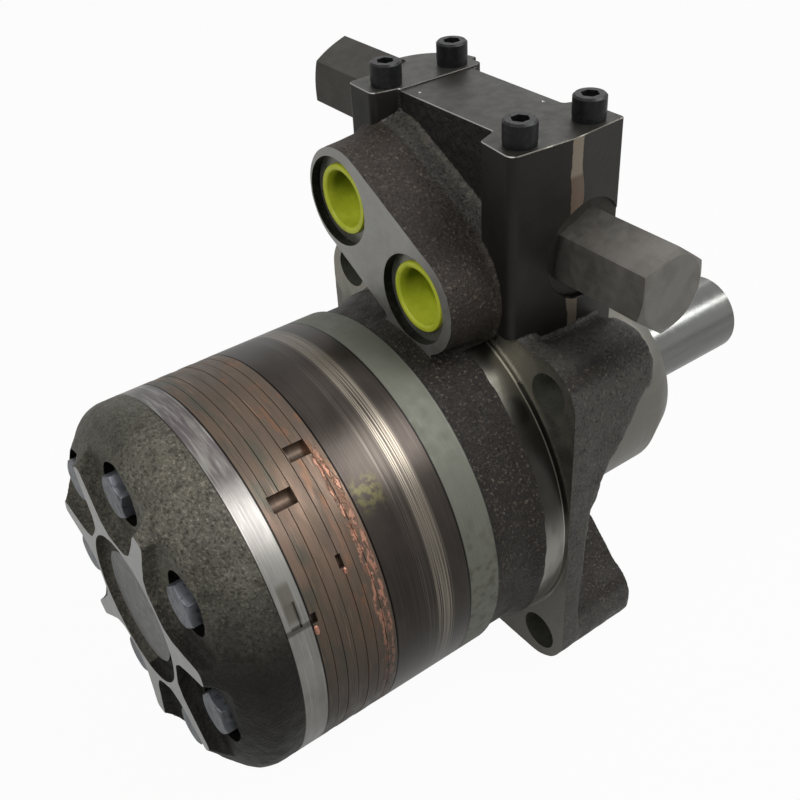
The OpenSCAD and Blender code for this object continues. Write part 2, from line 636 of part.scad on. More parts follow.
// Tower screws
module at_screws() for (x = [screw_rear_x, screw_front_x]) {
  translate([x, screw_near_y, tower_z]) children();
  translate([x, screw_far_y, tower_z + ear_step]) children();
}
module tower_screws() color("#1d1d1f") at_screws() difference() {
  union() {
    translate([0, 0, -screw_l]) cylinder(h = screw_l + lock_t + eps, d = screw_d);
    translate([0, 0, lock_t]) cylinder(h = screw_head - 0.6, d = screw_head_d);
    translate([0, 0, lock_t + screw_head - 0.6]) cylinder(h = 0.6, d1 = screw_head_d, d2 = screw_head_d - 1.2);
  }
  translate([0, 0, lock_t + screw_head - 3]) cylinder(h = 4, d = 5 / cos(30), $fn = 6);
}
module tower_lock_washers() color("#1d1d1f") at_screws() difference() {
  cylinder(h = lock_t, d = screw_head_d - 0.2);
  translate([0, 0, -past]) cylinder(h = lock_t + 2 * past, d = screw_d + 0.4);
  translate([0, -0.4, -past]) cube([screw_head_d, 0.8, lock_t + 2 * past]);
}

// Relief valves, laid out from the cap's seat inwards along +Z
cap_r = cap_af / 2 / cos(30);
collar_l = 3;
collar_z = poppet_lift + 3.5;
module relief_cap(turn) difference() {
  union() {
    intersection() {
      translate([0, 0, -cap_l]) rotate(turn) cylinder(h = cap_l, r = cap_r, $fn = 6);
      translate([0, 0, -cap_l]) cylinder(h = cap_l + past, r1 = cap_r - 2 * cap_chamfer, r2 = cap_r + 2 * (cap_l + past - cap_chamfer));
    }
    translate([0, 0, -eps]) cylinder(h = cap_thread_l, d = cap_thread_d);
  }
  translate([0, 0, -cap_bore_l]) cylinder(h = cap_bore_l + cap_thread_l + past, d = cap_bore_d);
}
module relief_seat() difference() {
  translate([0, 0, seat_start]) cylinder(h = seat_end - seat_start, d = relief_seat_d);
  translate([0, 0, seat_start - past]) cylinder(h = 10, r = 2.6);
  translate([0, 0, seat_start - eps]) cylinder(h = 0.7, r1 = 3.3, r2 = 2.6);
}
module relief_poppet() {
  translate([0, 0, collar_z]) cylinder(h = collar_l, d = cap_bore_d - 0.2);
  translate([0, 0, collar_z]) cylinder(h = seat_start - 2 - collar_z, r = 4);
  translate([0, 0, seat_start - 2 - eps]) cylinder(h = 3.2, r1 = 4, r2 = 1.9);
}
spring_r = (cap_bore_d - wire_d) / 2 - 0.3;
spring_l = cap_bore_l + collar_z;
spring_steps = 16;
function wire_ring(i, n) = let (a = i * 360 / spring_steps, z = wire_d / 2 + 0.05 - cap_bore_l + (spring_l - wire_d - 0.1) * i / n)
  [for (j = [0 : 5]) let (w = spring_r + wire_d / 2 * cos(j * 60)) [w * cos(a), w * sin(a), z + wire_d / 2 * sin(j * 60)]];
module relief_spring() {
  n = turns * spring_steps;
  polyhedron(
    points = [for (i = [0 : n]) each wire_ring(i, n)],
    faces = concat([[0, 1, 2, 3, 4, 5]],
      [for (i = [0 : n - 1], j = [0 : 5]) let (k = (j + 1) % 6) [i * 6 + j, i * 6 + 6 + j, i * 6 + 6 + k, i * 6 + k]],
      [[for (j = [5 : -1 : 0]) n * 6 + j]]));
}
module near_relief_cap() color("#6f6b65") at_near() relief_cap(near_cap_turn);
module far_relief_cap() color("#6f6b65") at_far() relief_cap(far_cap_turn);
module relief_cap_seals() color("#26241f") {
  at_near() cap_seal();
  at_far() cap_seal();
}
module cap_seal() difference() {
  translate([0, 0, 0.15]) cylinder(h = 2, d = cap_thread_d + 4);
  translate([0, 0, -past]) cylinder(h = 5, d = cap_thread_d + 0.1);
}
module relief_seats() color("#b9b6af") {
  at_near() relief_seat();
  at_far() relief_seat();
}
module near_relief_poppet() color("#c3c1bb") at_near() relief_poppet();
module far_relief_poppet() color("#c3c1bb") at_far() relief_poppet();
module near_relief_spring() color("#8d8a84") at_near() relief_spring();
module far_relief_spring() color("#8d8a84") at_far() relief_spring();

// Port plugs
module port_plug() color("#c6d400") difference() {
  union() {
    disc(port_x + recess_t - plug_rim_t, port_x + recess_t, plug_rim_d / 2);
    disc(port_x + recess_t - eps, port_x + recess_t + plug_l, port_d / 2 - plug_gap);
  }
  disc(port_x, port_x + recess_t + plug_l - 1.2, port_d / 2 - plug_gap - plug_wall);
}
module upper_port_plug() translate([0, upper_port_y, upper_port_z]) port_plug();
module lower_port_plug() translate([0, lower_port_y, lower_port_z]) port_plug();

housing();
end_cover();
end_cover_bolts();
commutator_ring();
commutator();
commutator_seal();
manifold();
stator();
rotor();
roller(1);  // roller_1
roller(2);  // roller_2
roller(3);  // roller_3
roller(4);  // roller_4
roller(5);  // roller_5
roller(6);  // roller_6
roller(7);  // roller_7
wear_plate();
drive_link();
output_shaft();
inner_bearing();
outer_bearing();
thrust_bearing();
thrust_washer();
shaft_seal();
backup_washer();
dust_seal();
body_seals();
tower_screws();
tower_lock_washers();
near_relief_cap();
far_relief_cap();
relief_cap_seals();
relief_seats();
near_relief_poppet();
far_relief_poppet();
near_relief_spring();
far_relief_spring();
upper_port_plug();
lower_port_plug();
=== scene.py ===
import math

import bpy
from mathutils import Matrix, Vector


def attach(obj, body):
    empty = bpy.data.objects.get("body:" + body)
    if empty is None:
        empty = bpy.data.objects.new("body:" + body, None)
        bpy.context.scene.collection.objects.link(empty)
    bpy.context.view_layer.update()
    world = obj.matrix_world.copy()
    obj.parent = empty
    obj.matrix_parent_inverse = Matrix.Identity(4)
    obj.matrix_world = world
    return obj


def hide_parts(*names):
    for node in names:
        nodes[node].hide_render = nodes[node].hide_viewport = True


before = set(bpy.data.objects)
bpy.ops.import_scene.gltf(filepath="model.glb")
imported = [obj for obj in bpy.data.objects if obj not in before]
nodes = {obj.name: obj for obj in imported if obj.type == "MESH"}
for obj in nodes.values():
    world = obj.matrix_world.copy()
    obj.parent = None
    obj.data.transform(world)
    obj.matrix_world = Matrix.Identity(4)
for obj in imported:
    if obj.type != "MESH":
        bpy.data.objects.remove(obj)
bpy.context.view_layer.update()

MM = 0.001

# The motor's measures, in millimetres. x runs along the shaft from the mounting face, z is up.
BODY_REAR = -28.5
BODY_RADIUS = 61.5
WEAR_REAR = -40.1
STATOR_REAR = -68.1
MANIFOLD_REAR = -93.3
RING_REAR = -101.4
COVER_FACE = -123.5
DISC_FACE = -121.5
POCKET_FLOOR = -118.5
STACK_RADIUS = 62.9
SHOULDER = 10
BOLT_CIRCLE = 44.4
BOLT_COUNT = 7
BOLT_SEAT = -115.4
BOLT_SEAT_RADIUS = 10.3
BOLT_HEAD = -121
HEAD_FOOT = -116.4
HEAD_CORNER = 7.5
WASHER_RADIUS = 7.4
SHANK_RADIUS = 4
PORT_FACE = -20
PORT_BORE = 10.32
RECESS_FLOOR = -16.8
RECESS_RADIUS = 14.8
UPPER_PORT = (25.6, 95.0)
LOWER_PORT = (-12.3, 75.8)
BOSS_TOP = (23.5, 95.6)
BOSS_FOOT = (-13.4, 76)
PLATE_HALF = 64.1
PLATE_FRONT = 7
PLATE_CORNER = 15.3
FLANGE_HOLE = 52.2
FLANGE_HOLE_RADIUS = 7.15
PILOT_RADIUS = 63.5
LUG_END = 49.9
LUG_RADIUS = 13.6
LUG_HALF = 12.2
LUG_FRONT = 35
HUB_RADIUS = 48
NOSE_FOOT = 36
NOSE_RADIUS = 37.4
NOSE_REACH = 82
TOWER_FOOT = 48
TOWER_RISE = 82
TOWER_TOP = 124.8
EAR_TOP = 125.4
NEAR_CAP = (27.8, 86.1)
NEAR_SEAT = -37.2
SEAT_RING = (26.8, 87.2)
SEAT_RADIUS = 16
FAR_CAP = (20, 112.5)
FAR_SEAT = 43.2
FAR_BOSS = (21.6, 27.5)
VALVE_BORE = 7.05
STEPPED_BORE = [(-40, 12, 31.9), (0, 27, 27.8), (20, 34.5, 24.4), (30, 50, 19.8)]  # from, to and radius
SCREWS = [(5.3, -31.8), (32, -31.8), (5.3, 30.8), (32, 30.8)]
PUNCH_DOTS = [(9.3, 18.6), (31.5, -13.2)]


# Camera, floor and lights

CAMERA_PLACE = (-188.21, -244.16, 248.09)
CAMERA_LENS = 49.028
FLOOR_HEIGHT = -0.0662  # in metres, 2 mm under the motor
FLOOR_WHITE = 0.96  # the rest of the floor holds the shadow
FLOOR_GLOSS = 0.35
ROOM_LIGHT = 0.15
ROOM_GLOSS = 1


def add_camera():
    """The photograph's viewing angle and distance."""
    right = Vector((0.79881, -0.59960, -0.04892))
    down = Vector((-0.38689, -0.44974, -0.80502))
    forward = right.cross(down).normalized()
    down = forward.cross(right).normalized()
    bpy.ops.object.camera_add(location=Vector(CAMERA_PLACE) * MM)
    cam = bpy.context.object
    cam.name = "camera"
    cam.rotation_euler = Matrix((right, -down, -forward)).transposed().to_euler()
    cam.data.sensor_width = 36
    cam.data.lens = CAMERA_LENS
    cam.data.clip_start = 0.01
    bpy.context.scene.camera = cam


def white_seen(tree, glossy_share):
    """How much of the white backdrop a ray sees: all for the camera and through glass, a share in gloss."""
    path = tree.nodes.new("ShaderNodeLightPath")
    gloss = tree.nodes.new("ShaderNodeMath")
    gloss.operation = "MULTIPLY_ADD"
    gloss.inputs[1].default_value = glossy_share
    tree.links.new(path.outputs["Is Glossy Ray"], gloss.inputs[0])
    tree.links.new(path.outputs["Is Transmission Ray"], gloss.inputs[2])
    either = tree.nodes.new("ShaderNodeMath")
    either.operation = "MAXIMUM"
    tree.links.new(path.outputs["Is Camera Ray"], either.inputs[0])
    tree.links.new(gloss.outputs[0], either.inputs[1])
    return either.outputs[0]


def add_floor():
    """A pale floor that shows plain white and still holds the motor's shadow."""
    bpy.ops.mesh.primitive_plane_add(size=6, location=(0, 0, FLOOR_HEIGHT))
    floor = bpy.context.object
    floor.name = "floor"
    mat = bpy.data.materials.new("floor_white")
    mat.use_nodes = True
    tree = mat.node_tree
    tree.nodes.clear()
    out = tree.nodes.new("ShaderNodeOutputMaterial")
    mix = tree.nodes.new("ShaderNodeMixShader")
    white = tree.nodes.new("ShaderNodeEmission")
    white.inputs["Color"].default_value = (1, 1, 1, 1)
    matte = tree.nodes.new("ShaderNodeBsdfDiffuse")
    matte.inputs["Color"].default_value = (0.5, 0.5, 0.49, 1)
    plain = tree.nodes.new("ShaderNodeMath")
    plain.operation = "MULTIPLY"
    plain.inputs[1].default_value = FLOOR_WHITE
    tree.links.new(white_seen(tree, FLOOR_GLOSS), plain.inputs[0])
    tree.links.new(plain.outputs[0], mix.inputs["Fac"])
    tree.links.new(matte.outputs[0], mix.inputs[1])
    tree.links.new(white.outputs[0], mix.inputs[2])
    tree.links.new(mix.outputs[0], out.inputs["Surface"])
    floor.data.materials.append(mat)


def add_world():
    """A softly lit room whose walls show plain white."""
    world = bpy.data.worlds.new("studio")
    bpy.context.scene.world = world
    world.use_nodes = True
    tree = world.node_tree
    tree.nodes.clear()
    out = tree.nodes.new("ShaderNodeOutputWorld")
    mix = tree.nodes.new("ShaderNodeMixShader")
    room = tree.nodes.new("ShaderNodeBackground")
    room.inputs["Color"].default_value = (0.97, 1, 0.96, 1)
    room.inputs["Strength"].default_value = ROOM_LIGHT
    white = tree.nodes.new("ShaderNodeBackground")
    white.inputs["Strength"].default_value = 1
    tree.links.new(white_seen(tree, ROOM_GLOSS), mix.inputs["Fac"])
    tree.links.new(room.outputs[0], mix.inputs[1])
    tree.links.new(white.outputs[0], mix.inputs[2])
    tree.links.new(mix.outputs[0], out.inputs["Surface"])
    bpy.context.scene.view_settings.view_transform = "Standard"


def add_lamp(name, direction, distance, size, power, target=(0, 0, 0.02)):
    """A soft panel of light, in metres and watts, that faces the motor from a direction."""
    aim = Vector(direction).normalized()
    bpy.ops.object.light_add(type="AREA", location=Vector(target) + aim * distance)
    lamp = bpy.context.object
    lamp.name = name
    lamp.rotation_euler = aim.to_track_quat("Z", "Y").to_euler()
    lamp.data.shape = "RECTANGLE"
    lamp.data.size = size[0]
    lamp.data.size_y = size[1]
    lamp.data.energy = power


add_camera()
add_floor()
add_world()
add_lamp("key_light", (0.36, -0.46, 0.81), 1.1, (0.5, 0.5), 7)
add_lamp("front_light", (-0.68, -0.16, 0.72), 1.2, (0.6, 0.6), 5)
add_lamp("shaft_light", (0.68, -0.42, 0.6), 1.1, (0.3, 0.2), 1.6)
add_lamp("rim_light", (0.6, 0.5, 0.9), 1.2, (0.5, 0.9), 1.5)


# Finishes

def srgb(r, g, b):
    """A colour as a shader takes it, from its 0 to 255 values."""
    def lin(c):
        c = c / 255
        return c / 12.92 if c <= 0.04045 else ((c + 0.055) / 1.055) ** 2.4
    return (lin(r), lin(g), lin(b), 1)


DEGREES = 57.2958  # in one radian
ARC = 1.098  # millimetres round the stack for each degree


class Finish:
    """A material built up in layers. Lengths are in millimetres, in the motor's own frame."""

    def __init__(self, name, colour, metallic=0.0, roughness=0.5, shine=0.5):
        self.mat = bpy.data.materials.new(name)
        self.mat.use_nodes = True
        self.tree = self.mat.node_tree
        self.shader = self.tree.nodes["Principled BSDF"]
        self.shader.inputs["Metallic"].default_value = metallic
        self.shader.inputs["Roughness"].default_value = roughness
        self.shader.inputs["Specular IOR Level"].default_value = shine
        self.tone = srgb(*colour)
        self.normal = None
        coords = self.new("ShaderNodeTexCoord").outputs["Object"]
        scale = self.new("ShaderNodeVectorMath", operation="SCALE")
        scale.inputs["Scale"].default_value = 1 / MM
        self.feed(scale.inputs[0], coords)
        self.place = scale.outputs["Vector"]
        parts = self.new("ShaderNodeSeparateXYZ")
        self.feed(parts.inputs[0], self.place)
        self.x, self.y, self.z = parts.outputs[0], parts.outputs[1], parts.outputs[2]

    def new(self, kind, **values):
        node = self.tree.nodes.new(kind)
        for key, value in values.items():
            setattr(node, key, value)
        return node

    def feed(self, socket, value):
        if isinstance(value, bpy.types.NodeSocket):
            self.tree.links.new(value, socket)
        else:
            socket.default_value = value

    def math(self, kind, a, b=0.0, c=0.0):
        node = self.new("ShaderNodeMath", operation=kind)
        for socket, value in zip(node.inputs, (a, b, c)):
            self.feed(socket, value)
        return node.outputs[0]

    def angle(self):
        """Degrees round the shaft, from the top down the near side."""
        turned = self.math("ARCTAN2", self.math("MULTIPLY", self.y, -1), self.z)
        return self.math("MULTIPLY", turned, DEGREES)

    def radius(self):
        """Distance from the shaft's axis."""
        return self.math("SQRT", self.math("ADD", self.math("MULTIPLY", self.y, self.y),
                                           self.math("MULTIPLY", self.z, self.z)))

    def wrapped(self):
        """Place along the shaft and round it, so that a pattern follows the turned surface."""
        node = self.new("ShaderNodeCombineXYZ")
        self.feed(node.inputs["X"], self.x)
        self.feed(node.inputs["Y"], self.math("MULTIPLY", self.angle(), ARC))
        return node.outputs[0]

    def rise(self, value, low, high):
        """From 0 at low to 1 at high. With low above high it falls."""
        node = self.new("ShaderNodeMapRange", interpolation_type="SMOOTHSTEP")
        self.feed(node.inputs["Value"], value)
        node.inputs["From Min"].default_value = low
        node.inputs["From Max"].default_value = high
        return node.outputs["Result"]

    def scaled(self, value, low, high):
        """A noise's usual spread, stretched to run from low to high."""
        node = self.new("ShaderNodeMapRange")
        self.feed(node.inputs["Value"], value)
        node.inputs["From Min"].default_value = 0.3
        node.inputs["From Max"].default_value = 0.7
        node.inputs["To Min"].default_value = low
        node.inputs["To Max"].default_value = high
        return node.outputs["Result"]

    def band(self, value, low, high, soft):
        """1 between low and high, with soft ends."""
        return self.math("MULTIPLY", self.rise(value, low - soft, low + soft),
                         self.rise(value, high + soft, high - soft))

    def both(self, a, *more):
        """Where all the masks meet."""
        for b in more:
            a = self.math("MULTIPLY", a, b)
        return a

    def noise(self, size, where=None, detail=3.0, roughness=0.55):
        """Clouds round 0.5 whose lumps are size across, one length or one for each direction."""
        sizes = size if isinstance(size, tuple) else (size, size, size)
        stretch = self.new("ShaderNodeMapping")
        stretch.inputs["Scale"].default_value = [1 / s for s in sizes]
        self.feed(stretch.inputs[0], where or self.place)
        node = self.new("ShaderNodeTexNoise")
        node.inputs["Scale"].default_value = 1
        node.inputs["Detail"].default_value = detail
        node.inputs["Roughness"].default_value = roughness
        self.feed(node.inputs["Vector"], stretch.outputs[0])
        return node.outputs["Fac"]

    def lay(self, mask, colour, amount=1.0):
        """Lays a colour over the finish so far where the mask is 1."""
        node = self.new("ShaderNodeMix", data_type="RGBA")
        self.feed(node.inputs["Factor"], self.math("MULTIPLY", mask, amount) if amount != 1.0 else mask)
        self.feed(node.inputs["A"], self.tone)
        self.feed(node.inputs["B"], srgb(*colour))
        self.tone = node.outputs["Result"]

    def rough(self, value):
        self.feed(self.shader.inputs["Roughness"], value)

    def bump(self, height, depth, strength=1.0):
        """Raises the surface by up to depth millimetres where height is 1."""
        node = self.new("ShaderNodeBump")
        node.inputs["Strength"].default_value = strength
        node.inputs["Distance"].default_value = depth * MM
        self.feed(node.inputs["Height"], height)
        if self.normal:
            self.feed(node.inputs["Normal"], self.normal)
        self.normal = node.outputs["Normal"]

    def done(self):
        self.feed(self.shader.inputs["Base Color"], self.tone)
        if self.normal:
            self.feed(self.shader.inputs["Normal"], self.normal)
        return self.mat


def body_cast():
    """Brown sand casting with an oily film, greyer on the sides of the plate and lugs, with painted light: a
    lighter upper body over the boss and painted glints among the sand's bright specks.
    """
    f = Finish("body_cast", (37, 33, 30), metallic=0.15, roughness=0.46, shine=0.2)
    f.lay(f.rise(f.noise(22), 0.4, 0.62), (42, 38, 34), 0.8)
    f.lay(f.rise(f.noise(4, detail=5), 0.48, 0.66), (36, 31, 28), 0.7)
    # Painted highlight: the upper body over the boss is laid lighter, for the light falling on it.
    f.lay(f.both(f.rise(f.z, 60, 64), f.rise(f.x, 9, 6)), (56, 50, 44), 0.6)
    sides = f.math("MAXIMUM", f.math("ABSOLUTE", f.y), f.math("ABSOLUTE", f.z))
    f.lay(f.both(f.rise(sides, 60.5, 63), f.rise(f.x, -1.5, 0)), (74, 73, 70), 0.75)
    ridge = f.both(f.band(f.x, 3.4, 6.4, 0.8), f.rise(f.z, 66, 72), f.rise(f.noise(2.2), 0.4, 0.6))
    f.lay(ridge, (104, 98, 88), 0.45)
    sand = f.noise(0.95, detail=3, roughness=0.7)
    # Bright specks: partly the sand's own grain, partly painted glints where the grain catches light.
    f.lay(f.rise(sand, 0.56, 0.7), (120, 110, 97), 0.6)
    f.lay(f.rise(sand, 0.46, 0.36), (20, 17, 15), 0.75)
    f.rough(f.scaled(f.noise(6, detail=4), 0.34, 0.58))
    f.bump(f.noise(2.6, detail=3), 0.7, 0.6)
    f.bump(sand, 0.45, 0.9)
    return f.done()


def machined_face():
    """Satin faced steel-grey iron with faint cutter lines."""
    f = Finish("machined_face", (156, 155, 151), metallic=0.85, roughness=0.38)
    f.lay(f.rise(f.noise(16), 0.35, 0.65), (164, 163, 159))
    lines = f.noise((0.5, 9, 0.35), detail=2)
    f.lay(f.rise(lines, 0.5, 0.7), (146, 145, 140), 0.4)
    f.rough(f.scaled(f.noise(3), 0.32, 0.46))
    f.bump(lines, 0.03, 0.5)
    return f.done()


def recess_oily():
    """Oily bright floor of the port recesses and walls of the flange holes."""
    f = Finish("recess_oily", (116, 116, 106), metallic=0.6, roughness=0.3)
    f.lay(f.rise(f.noise(9), 0.4, 0.62), (128, 127, 118))
    f.rough(f.scaled(f.noise(4), 0.24, 0.36))
    return f.done()


def tower_black():
    """Smooth blackened side of the tower, with the raw parting strip down the near face."""
    f = Finish("tower_black", (29, 28, 25), metallic=0.3, roughness=0.42, shine=0.3)
    f.lay(f.rise(f.noise(12, detail=4), 0.42, 0.62), (34, 31, 28))
    f.lay(f.both(f.rise(f.x, 21, 25), f.rise(f.y, -30, -34)), (46, 45, 42), 0.8)
    edge = f.math("ADD", f.x, f.scaled(f.noise((7, 7, 12), detail=3), -0.8, 0.8))
    strip = f.both(f.band(edge, 18.6, 23.3, 0.2), f.rise(f.y, -36, -37), f.rise(f.z, 56, 60))
    f.lay(strip, (128, 117, 103))
    f.lay(f.both(strip, f.band(f.z, 97, 113, 0.8)), (100, 84, 72))
    f.rough(f.scaled(f.noise(7), 0.36, 0.5))
    f.bump(f.noise(1.2, detail=2), 0.06, 0.6)
    return f.done()


def tower_top():
    """Milled top of the tower, dark with long faint cutter marks."""
    f = Finish("tower_top", (56, 55, 51), metallic=0.7, roughness=0.42, shine=0.4)
    lines = f.noise((14, 0.7, 14), detail=3)
    f.lay(f.rise(lines, 0.42, 0.64), (47, 46, 42), 0.7)
    f.lay(f.rise(f.noise(9, detail=4), 0.5, 0.7), (63, 62, 58), 0.6)
    f.lay(f.rise(f.y, 23, 25), (68, 67, 64), 0.8)
    f.rough(f.scaled(f.noise(4), 0.36, 0.5))
    f.bump(lines, 0.04, 0.5)
    return f.done()


def edge_glint():
    """Painted glint: a bright line on the tower's bevelled top edges, broken here and there."""
    f = Finish("edge_glint", (104, 101, 94), metallic=0.85, roughness=0.4)
    f.lay(f.rise(f.noise((5, 5, 2.5)), 0.42, 0.56), (58, 56, 51))
    return f.done()


def waist_cast():
    """The raw, dark recess behind the port boss."""
    f = Finish("waist_cast", (30, 28, 26), metallic=0.25, roughness=0.5, shine=0.3)
    f.lay(f.rise(f.noise(3, detail=5), 0.5, 0.66), (44, 41, 37))
    f.bump(f.noise(3, detail=4), 1.4, 0.7)
    f.bump(f.noise(0.7), 0.25, 0.7)
    return f.done()


def flange_rear():
    """Faced rear of the flange, brighter and straw-tinted at the top, with a painted reflection of the dark hub
    that darkens it lower down.
    """
    f = Finish("flange_rear", (142, 139, 128), metallic=0.85, roughness=0.32)
    # Painted reflection: darker lower down, where the face mirrors the dark hub.
    low = f.rise(f.math("ADD", f.z, f.scaled(f.noise(9), -6, 6)), 47, 36)
    f.lay(low, (98, 97, 91), 0.85)
    f.rough(f.scaled(f.noise(5), 0.22, 0.4))
    return f.done()


def cover_cast():
    """Olive-grey casting with a fine bright grain, and painted shade: much darker down the near side and
    underneath, a little darker over the top.
    """
    f = Finish("cover_cast", (90, 87, 78), metallic=0.1, roughness=0.5, shine=0.15)
    f.lay(f.rise(f.noise(15), 0.4, 0.64), (110, 107, 96), 0.8)
    f.lay(f.rise(f.noise(3.5, detail=5), 0.5, 0.68), (66, 63, 55), 0.7)
    grain = f.noise((0.9, 1.2, 0.9), detail=3, roughness=0.7)
    f.lay(f.rise(grain, 0.54, 0.68), (154, 148, 134), 0.6)
    f.lay(f.rise(grain, 0.47, 0.36), (34, 32, 27), 0.75)
    # Painted shade: much darker from 30 degrees down the near side and underneath.
    f.lay(f.rise(f.angle(), 30, 80), (12, 11, 10), 0.94)
    # Painted shade: a little darker over the top and far side, which leaves a lit band between.
    f.lay(f.rise(f.angle(), 14, -6), (52, 50, 44), 0.45)
    f.rough(f.scaled(f.noise(4), 0.4, 0.56))
    f.bump(f.noise(2.2), 0.5, 0.5)
    f.bump(grain, 0.4, 0.9)
    return f.done()


def web_machined():
    """Faced webs of the cover, with a duller disc in the middle."""
    f = Finish("web_machined", (172, 172, 170), metallic=0.85, roughness=0.38)
    f.lay(f.rise(f.noise(8), 0.36, 0.62), (166, 166, 163))
    f.lay(f.rise(f.radius(), 20.5, 19.5), (100, 100, 99))
    scratches = f.noise((3, 0.4, 14), detail=2)
    f.lay(f.rise(scratches, 0.64, 0.72), (150, 149, 144), 0.5)
    f.rough(f.scaled(f.noise(2.5), 0.3, 0.44))
    f.bump(scratches, 0.03, 0.5)
    return f.done()


def counterbore_dark():
    """Shaded walls of bores and bolt seats."""
    f = Finish("counterbore_dark", (24, 24, 22), metallic=0.3, roughness=0.35, shine=0.3)
    f.lay(f.rise(f.noise(2.5), 0.5, 0.66), (42, 41, 38))
    return f.done()


def turned_ring(name, colour, dark, bright, roughness, metallic=0.95):
    """Ground ring: marks run round it, joint lines are dark at both faces."""
    f = Finish(name, colour, metallic=metallic, roughness=roughness)
    wrap = f.wrapped()
    f.lay(f.rise(f.noise((14, 26, 1), wrap), 0.42, 0.62), dark, 0.7)
    f.lines = f.noise((0.32, 60, 1), wrap, detail=3, roughness=0.7)
    f.lay(f.rise(f.lines, 0.5, 0.66), bright, 0.4)
    f.lay(f.rise(f.noise((0.5, 9, 1), wrap), 0.64, 0.7), bright, 0.4)
    f.bump(f.lines, 0.03, 0.7)
    return f


def joint_lines(f, *faces):
    """Dark lines where a ring meets its neighbours."""
    for x in faces:
        f.lay(f.band(f.x, x - 0.3, x + 0.3, 0.12), (14, 13, 12), 0.92)


def silver_ring():
    """Bright ring with a stained upper half and one ground patch."""
    f = turned_ring("silver_ring", (138, 136, 131), (112, 108, 106), (176, 174, 170), 0.34)
    wrap = f.wrapped()
    upper = f.both(f.rise(f.angle(), 30, 24), f.rise(f.noise((1.2, 14, 1), wrap, detail=4), 0.36, 0.58))
    f.lay(upper, (84, 74, 78), 0.75)
    patch = f.both(f.band(f.angle(), 56, 67, 1.2), f.band(f.x, -99.6, -95.6, 0.4))
    f.lay(patch, (92, 88, 78), 0.7)
    f.lay(f.band(f.angle(), 68, 69.6, 0.3), (60, 58, 52), 0.7)
    # Painted shade: greyer lower down the near side.
    f.lay(f.rise(f.angle(), 82, 110), (110, 109, 106), 0.7)
    f.rough(f.scaled(f.noise((2, 12, 1), wrap), 0.29, 0.39))
    joint_lines(f, RING_REAR, MANIFOLD_REAR)
    return f.done()


def copper_stack():
    """Brazed sheets: brown copper with uneven lamination lines and pink braze runs."""
    f = Finish("copper_stack", (88, 77, 68), metallic=0.75, roughness=0.44)
    wrap = f.wrapped()
    f.lay(f.rise(f.noise((10, 30, 1), wrap), 0.38, 0.62), (97, 82, 69), 0.8)
    rear = f.both(f.rise(f.noise((4, 16, 1), wrap, detail=4), 0.46, 0.62), f.rise(f.x, -80, -86))
    f.lay(rear, (74, 74, 66), 0.75)
    front = f.both(f.rise(f.noise((3, 9, 1), wrap, detail=4), 0.5, 0.66), f.rise(f.x, -82, -76))
    f.lay(front, (120, 86, 64), 0.65)
    wander = f.math("ADD", f.x, f.scaled(f.noise((8, 20, 1), wrap, detail=4), -0.5, 0.5))
    for x, strength in ((-91.9, 0.595), (-87.6, 0.34), (-84.1, 0.255), (-76.9, 0.2975), (-73.4, 0.34)):
        broken = f.rise(f.noise((2, 17, 1), wrap, detail=2), 0.36, 0.5)
        f.lay(f.both(f.band(wander, x - 0.1, x + 0.1, 0.1), broken), (60, 49, 42), strength)
    f.lay(f.rise(f.noise((0.4, 24, 1), wrap), 0.62, 0.7), (160, 130, 108), 0.5)
    side = f.math("ADD", f.x, f.scaled(f.noise((3, 7, 1), wrap, detail=4), -1.2, 1.2))
    braze = f.both(f.math("MAXIMUM", f.band(side, -72.9, -71.5, 0.3), f.band(side, -70.7, -69.3, 0.35)),
                   f.rise(f.angle(), 24, 36), f.rise(f.noise((1.3, 4, 1), wrap, detail=4), 0.42, 0.54))
    f.lay(braze, (186, 134, 112), 0.7)
    # Painted sheen: a lighter pink band from 33 to 62 degrees down the near side, where the highlight runs.
    sheen_band = f.both(f.band(f.angle(), 33, 62, 8), f.rise(f.noise((5, 20, 1), wrap), 0.4, 0.6))
    f.lay(sheen_band, (126, 102, 88), 0.4)
    # Painted shade: darker lower down.
    f.lay(f.rise(f.angle(), 66, 108), (50, 43, 37), 0.8)
    f.rough(f.scaled(f.noise((3, 12, 1), wrap), 0.38, 0.56))
    f.bump(f.noise((0.5, 14, 1), wrap, detail=4), 0.08, 0.8)
    f.bump(braze, 0.35, 0.8)
    joint_lines(f, MANIFOLD_REAR, STATOR_REAR)
    return f.done()


def stator_dark():
    """Dark turned ring with two bright bands and a faint yellow mark."""
    f = turned_ring("stator_dark", (61, 56, 52), (51, 46, 43), (76, 71, 67), 0.33)
    wrap = f.wrapped()
    fine = f.noise((0.24, 70, 1), wrap, detail=2)
    f.lay(f.both(f.band(f.x, -52.5, -46.8, 0.9), f.rise(fine, 0.4, 0.56)), (142, 134, 122), 0.8)
    f.lay(f.both(f.band(f.x, -57.5, -54, 1.2), f.rise(fine, 0.5, 0.62)), (104, 98, 90), 0.5)
    mark = f.both(f.band(f.angle(), 42, 50, 3), f.band(f.x, -67.5, -58.5, 2), f.rise(f.noise(2.4), 0.42, 0.6))
    f.lay(mark, (96, 92, 62), 0.6)
    # Painted shade: darker lower down.
    f.lay(f.rise(f.angle(), 84, 112), (44, 42, 40), 0.6)
    joint_lines(f, STATOR_REAR, WEAR_REAR)
    return f.done()


def wear_grey():
    """Dull grey-green plate, mottled brown lower down."""
    f = turned_ring("wear_grey", (101, 102, 92), (94, 95, 86), (114, 115, 106), 0.55, metallic=0.55)
    mottle = f.both(f.rise(f.noise(3, detail=5), 0.48, 0.64), f.rise(f.angle(), 58, 84))
    f.lay(mottle, (66, 62, 54), 0.6)
    f.rough(f.scaled(f.noise(4), 0.5, 0.62))
    joint_lines(f, WEAR_REAR, BODY_REAR)
    return f.done()


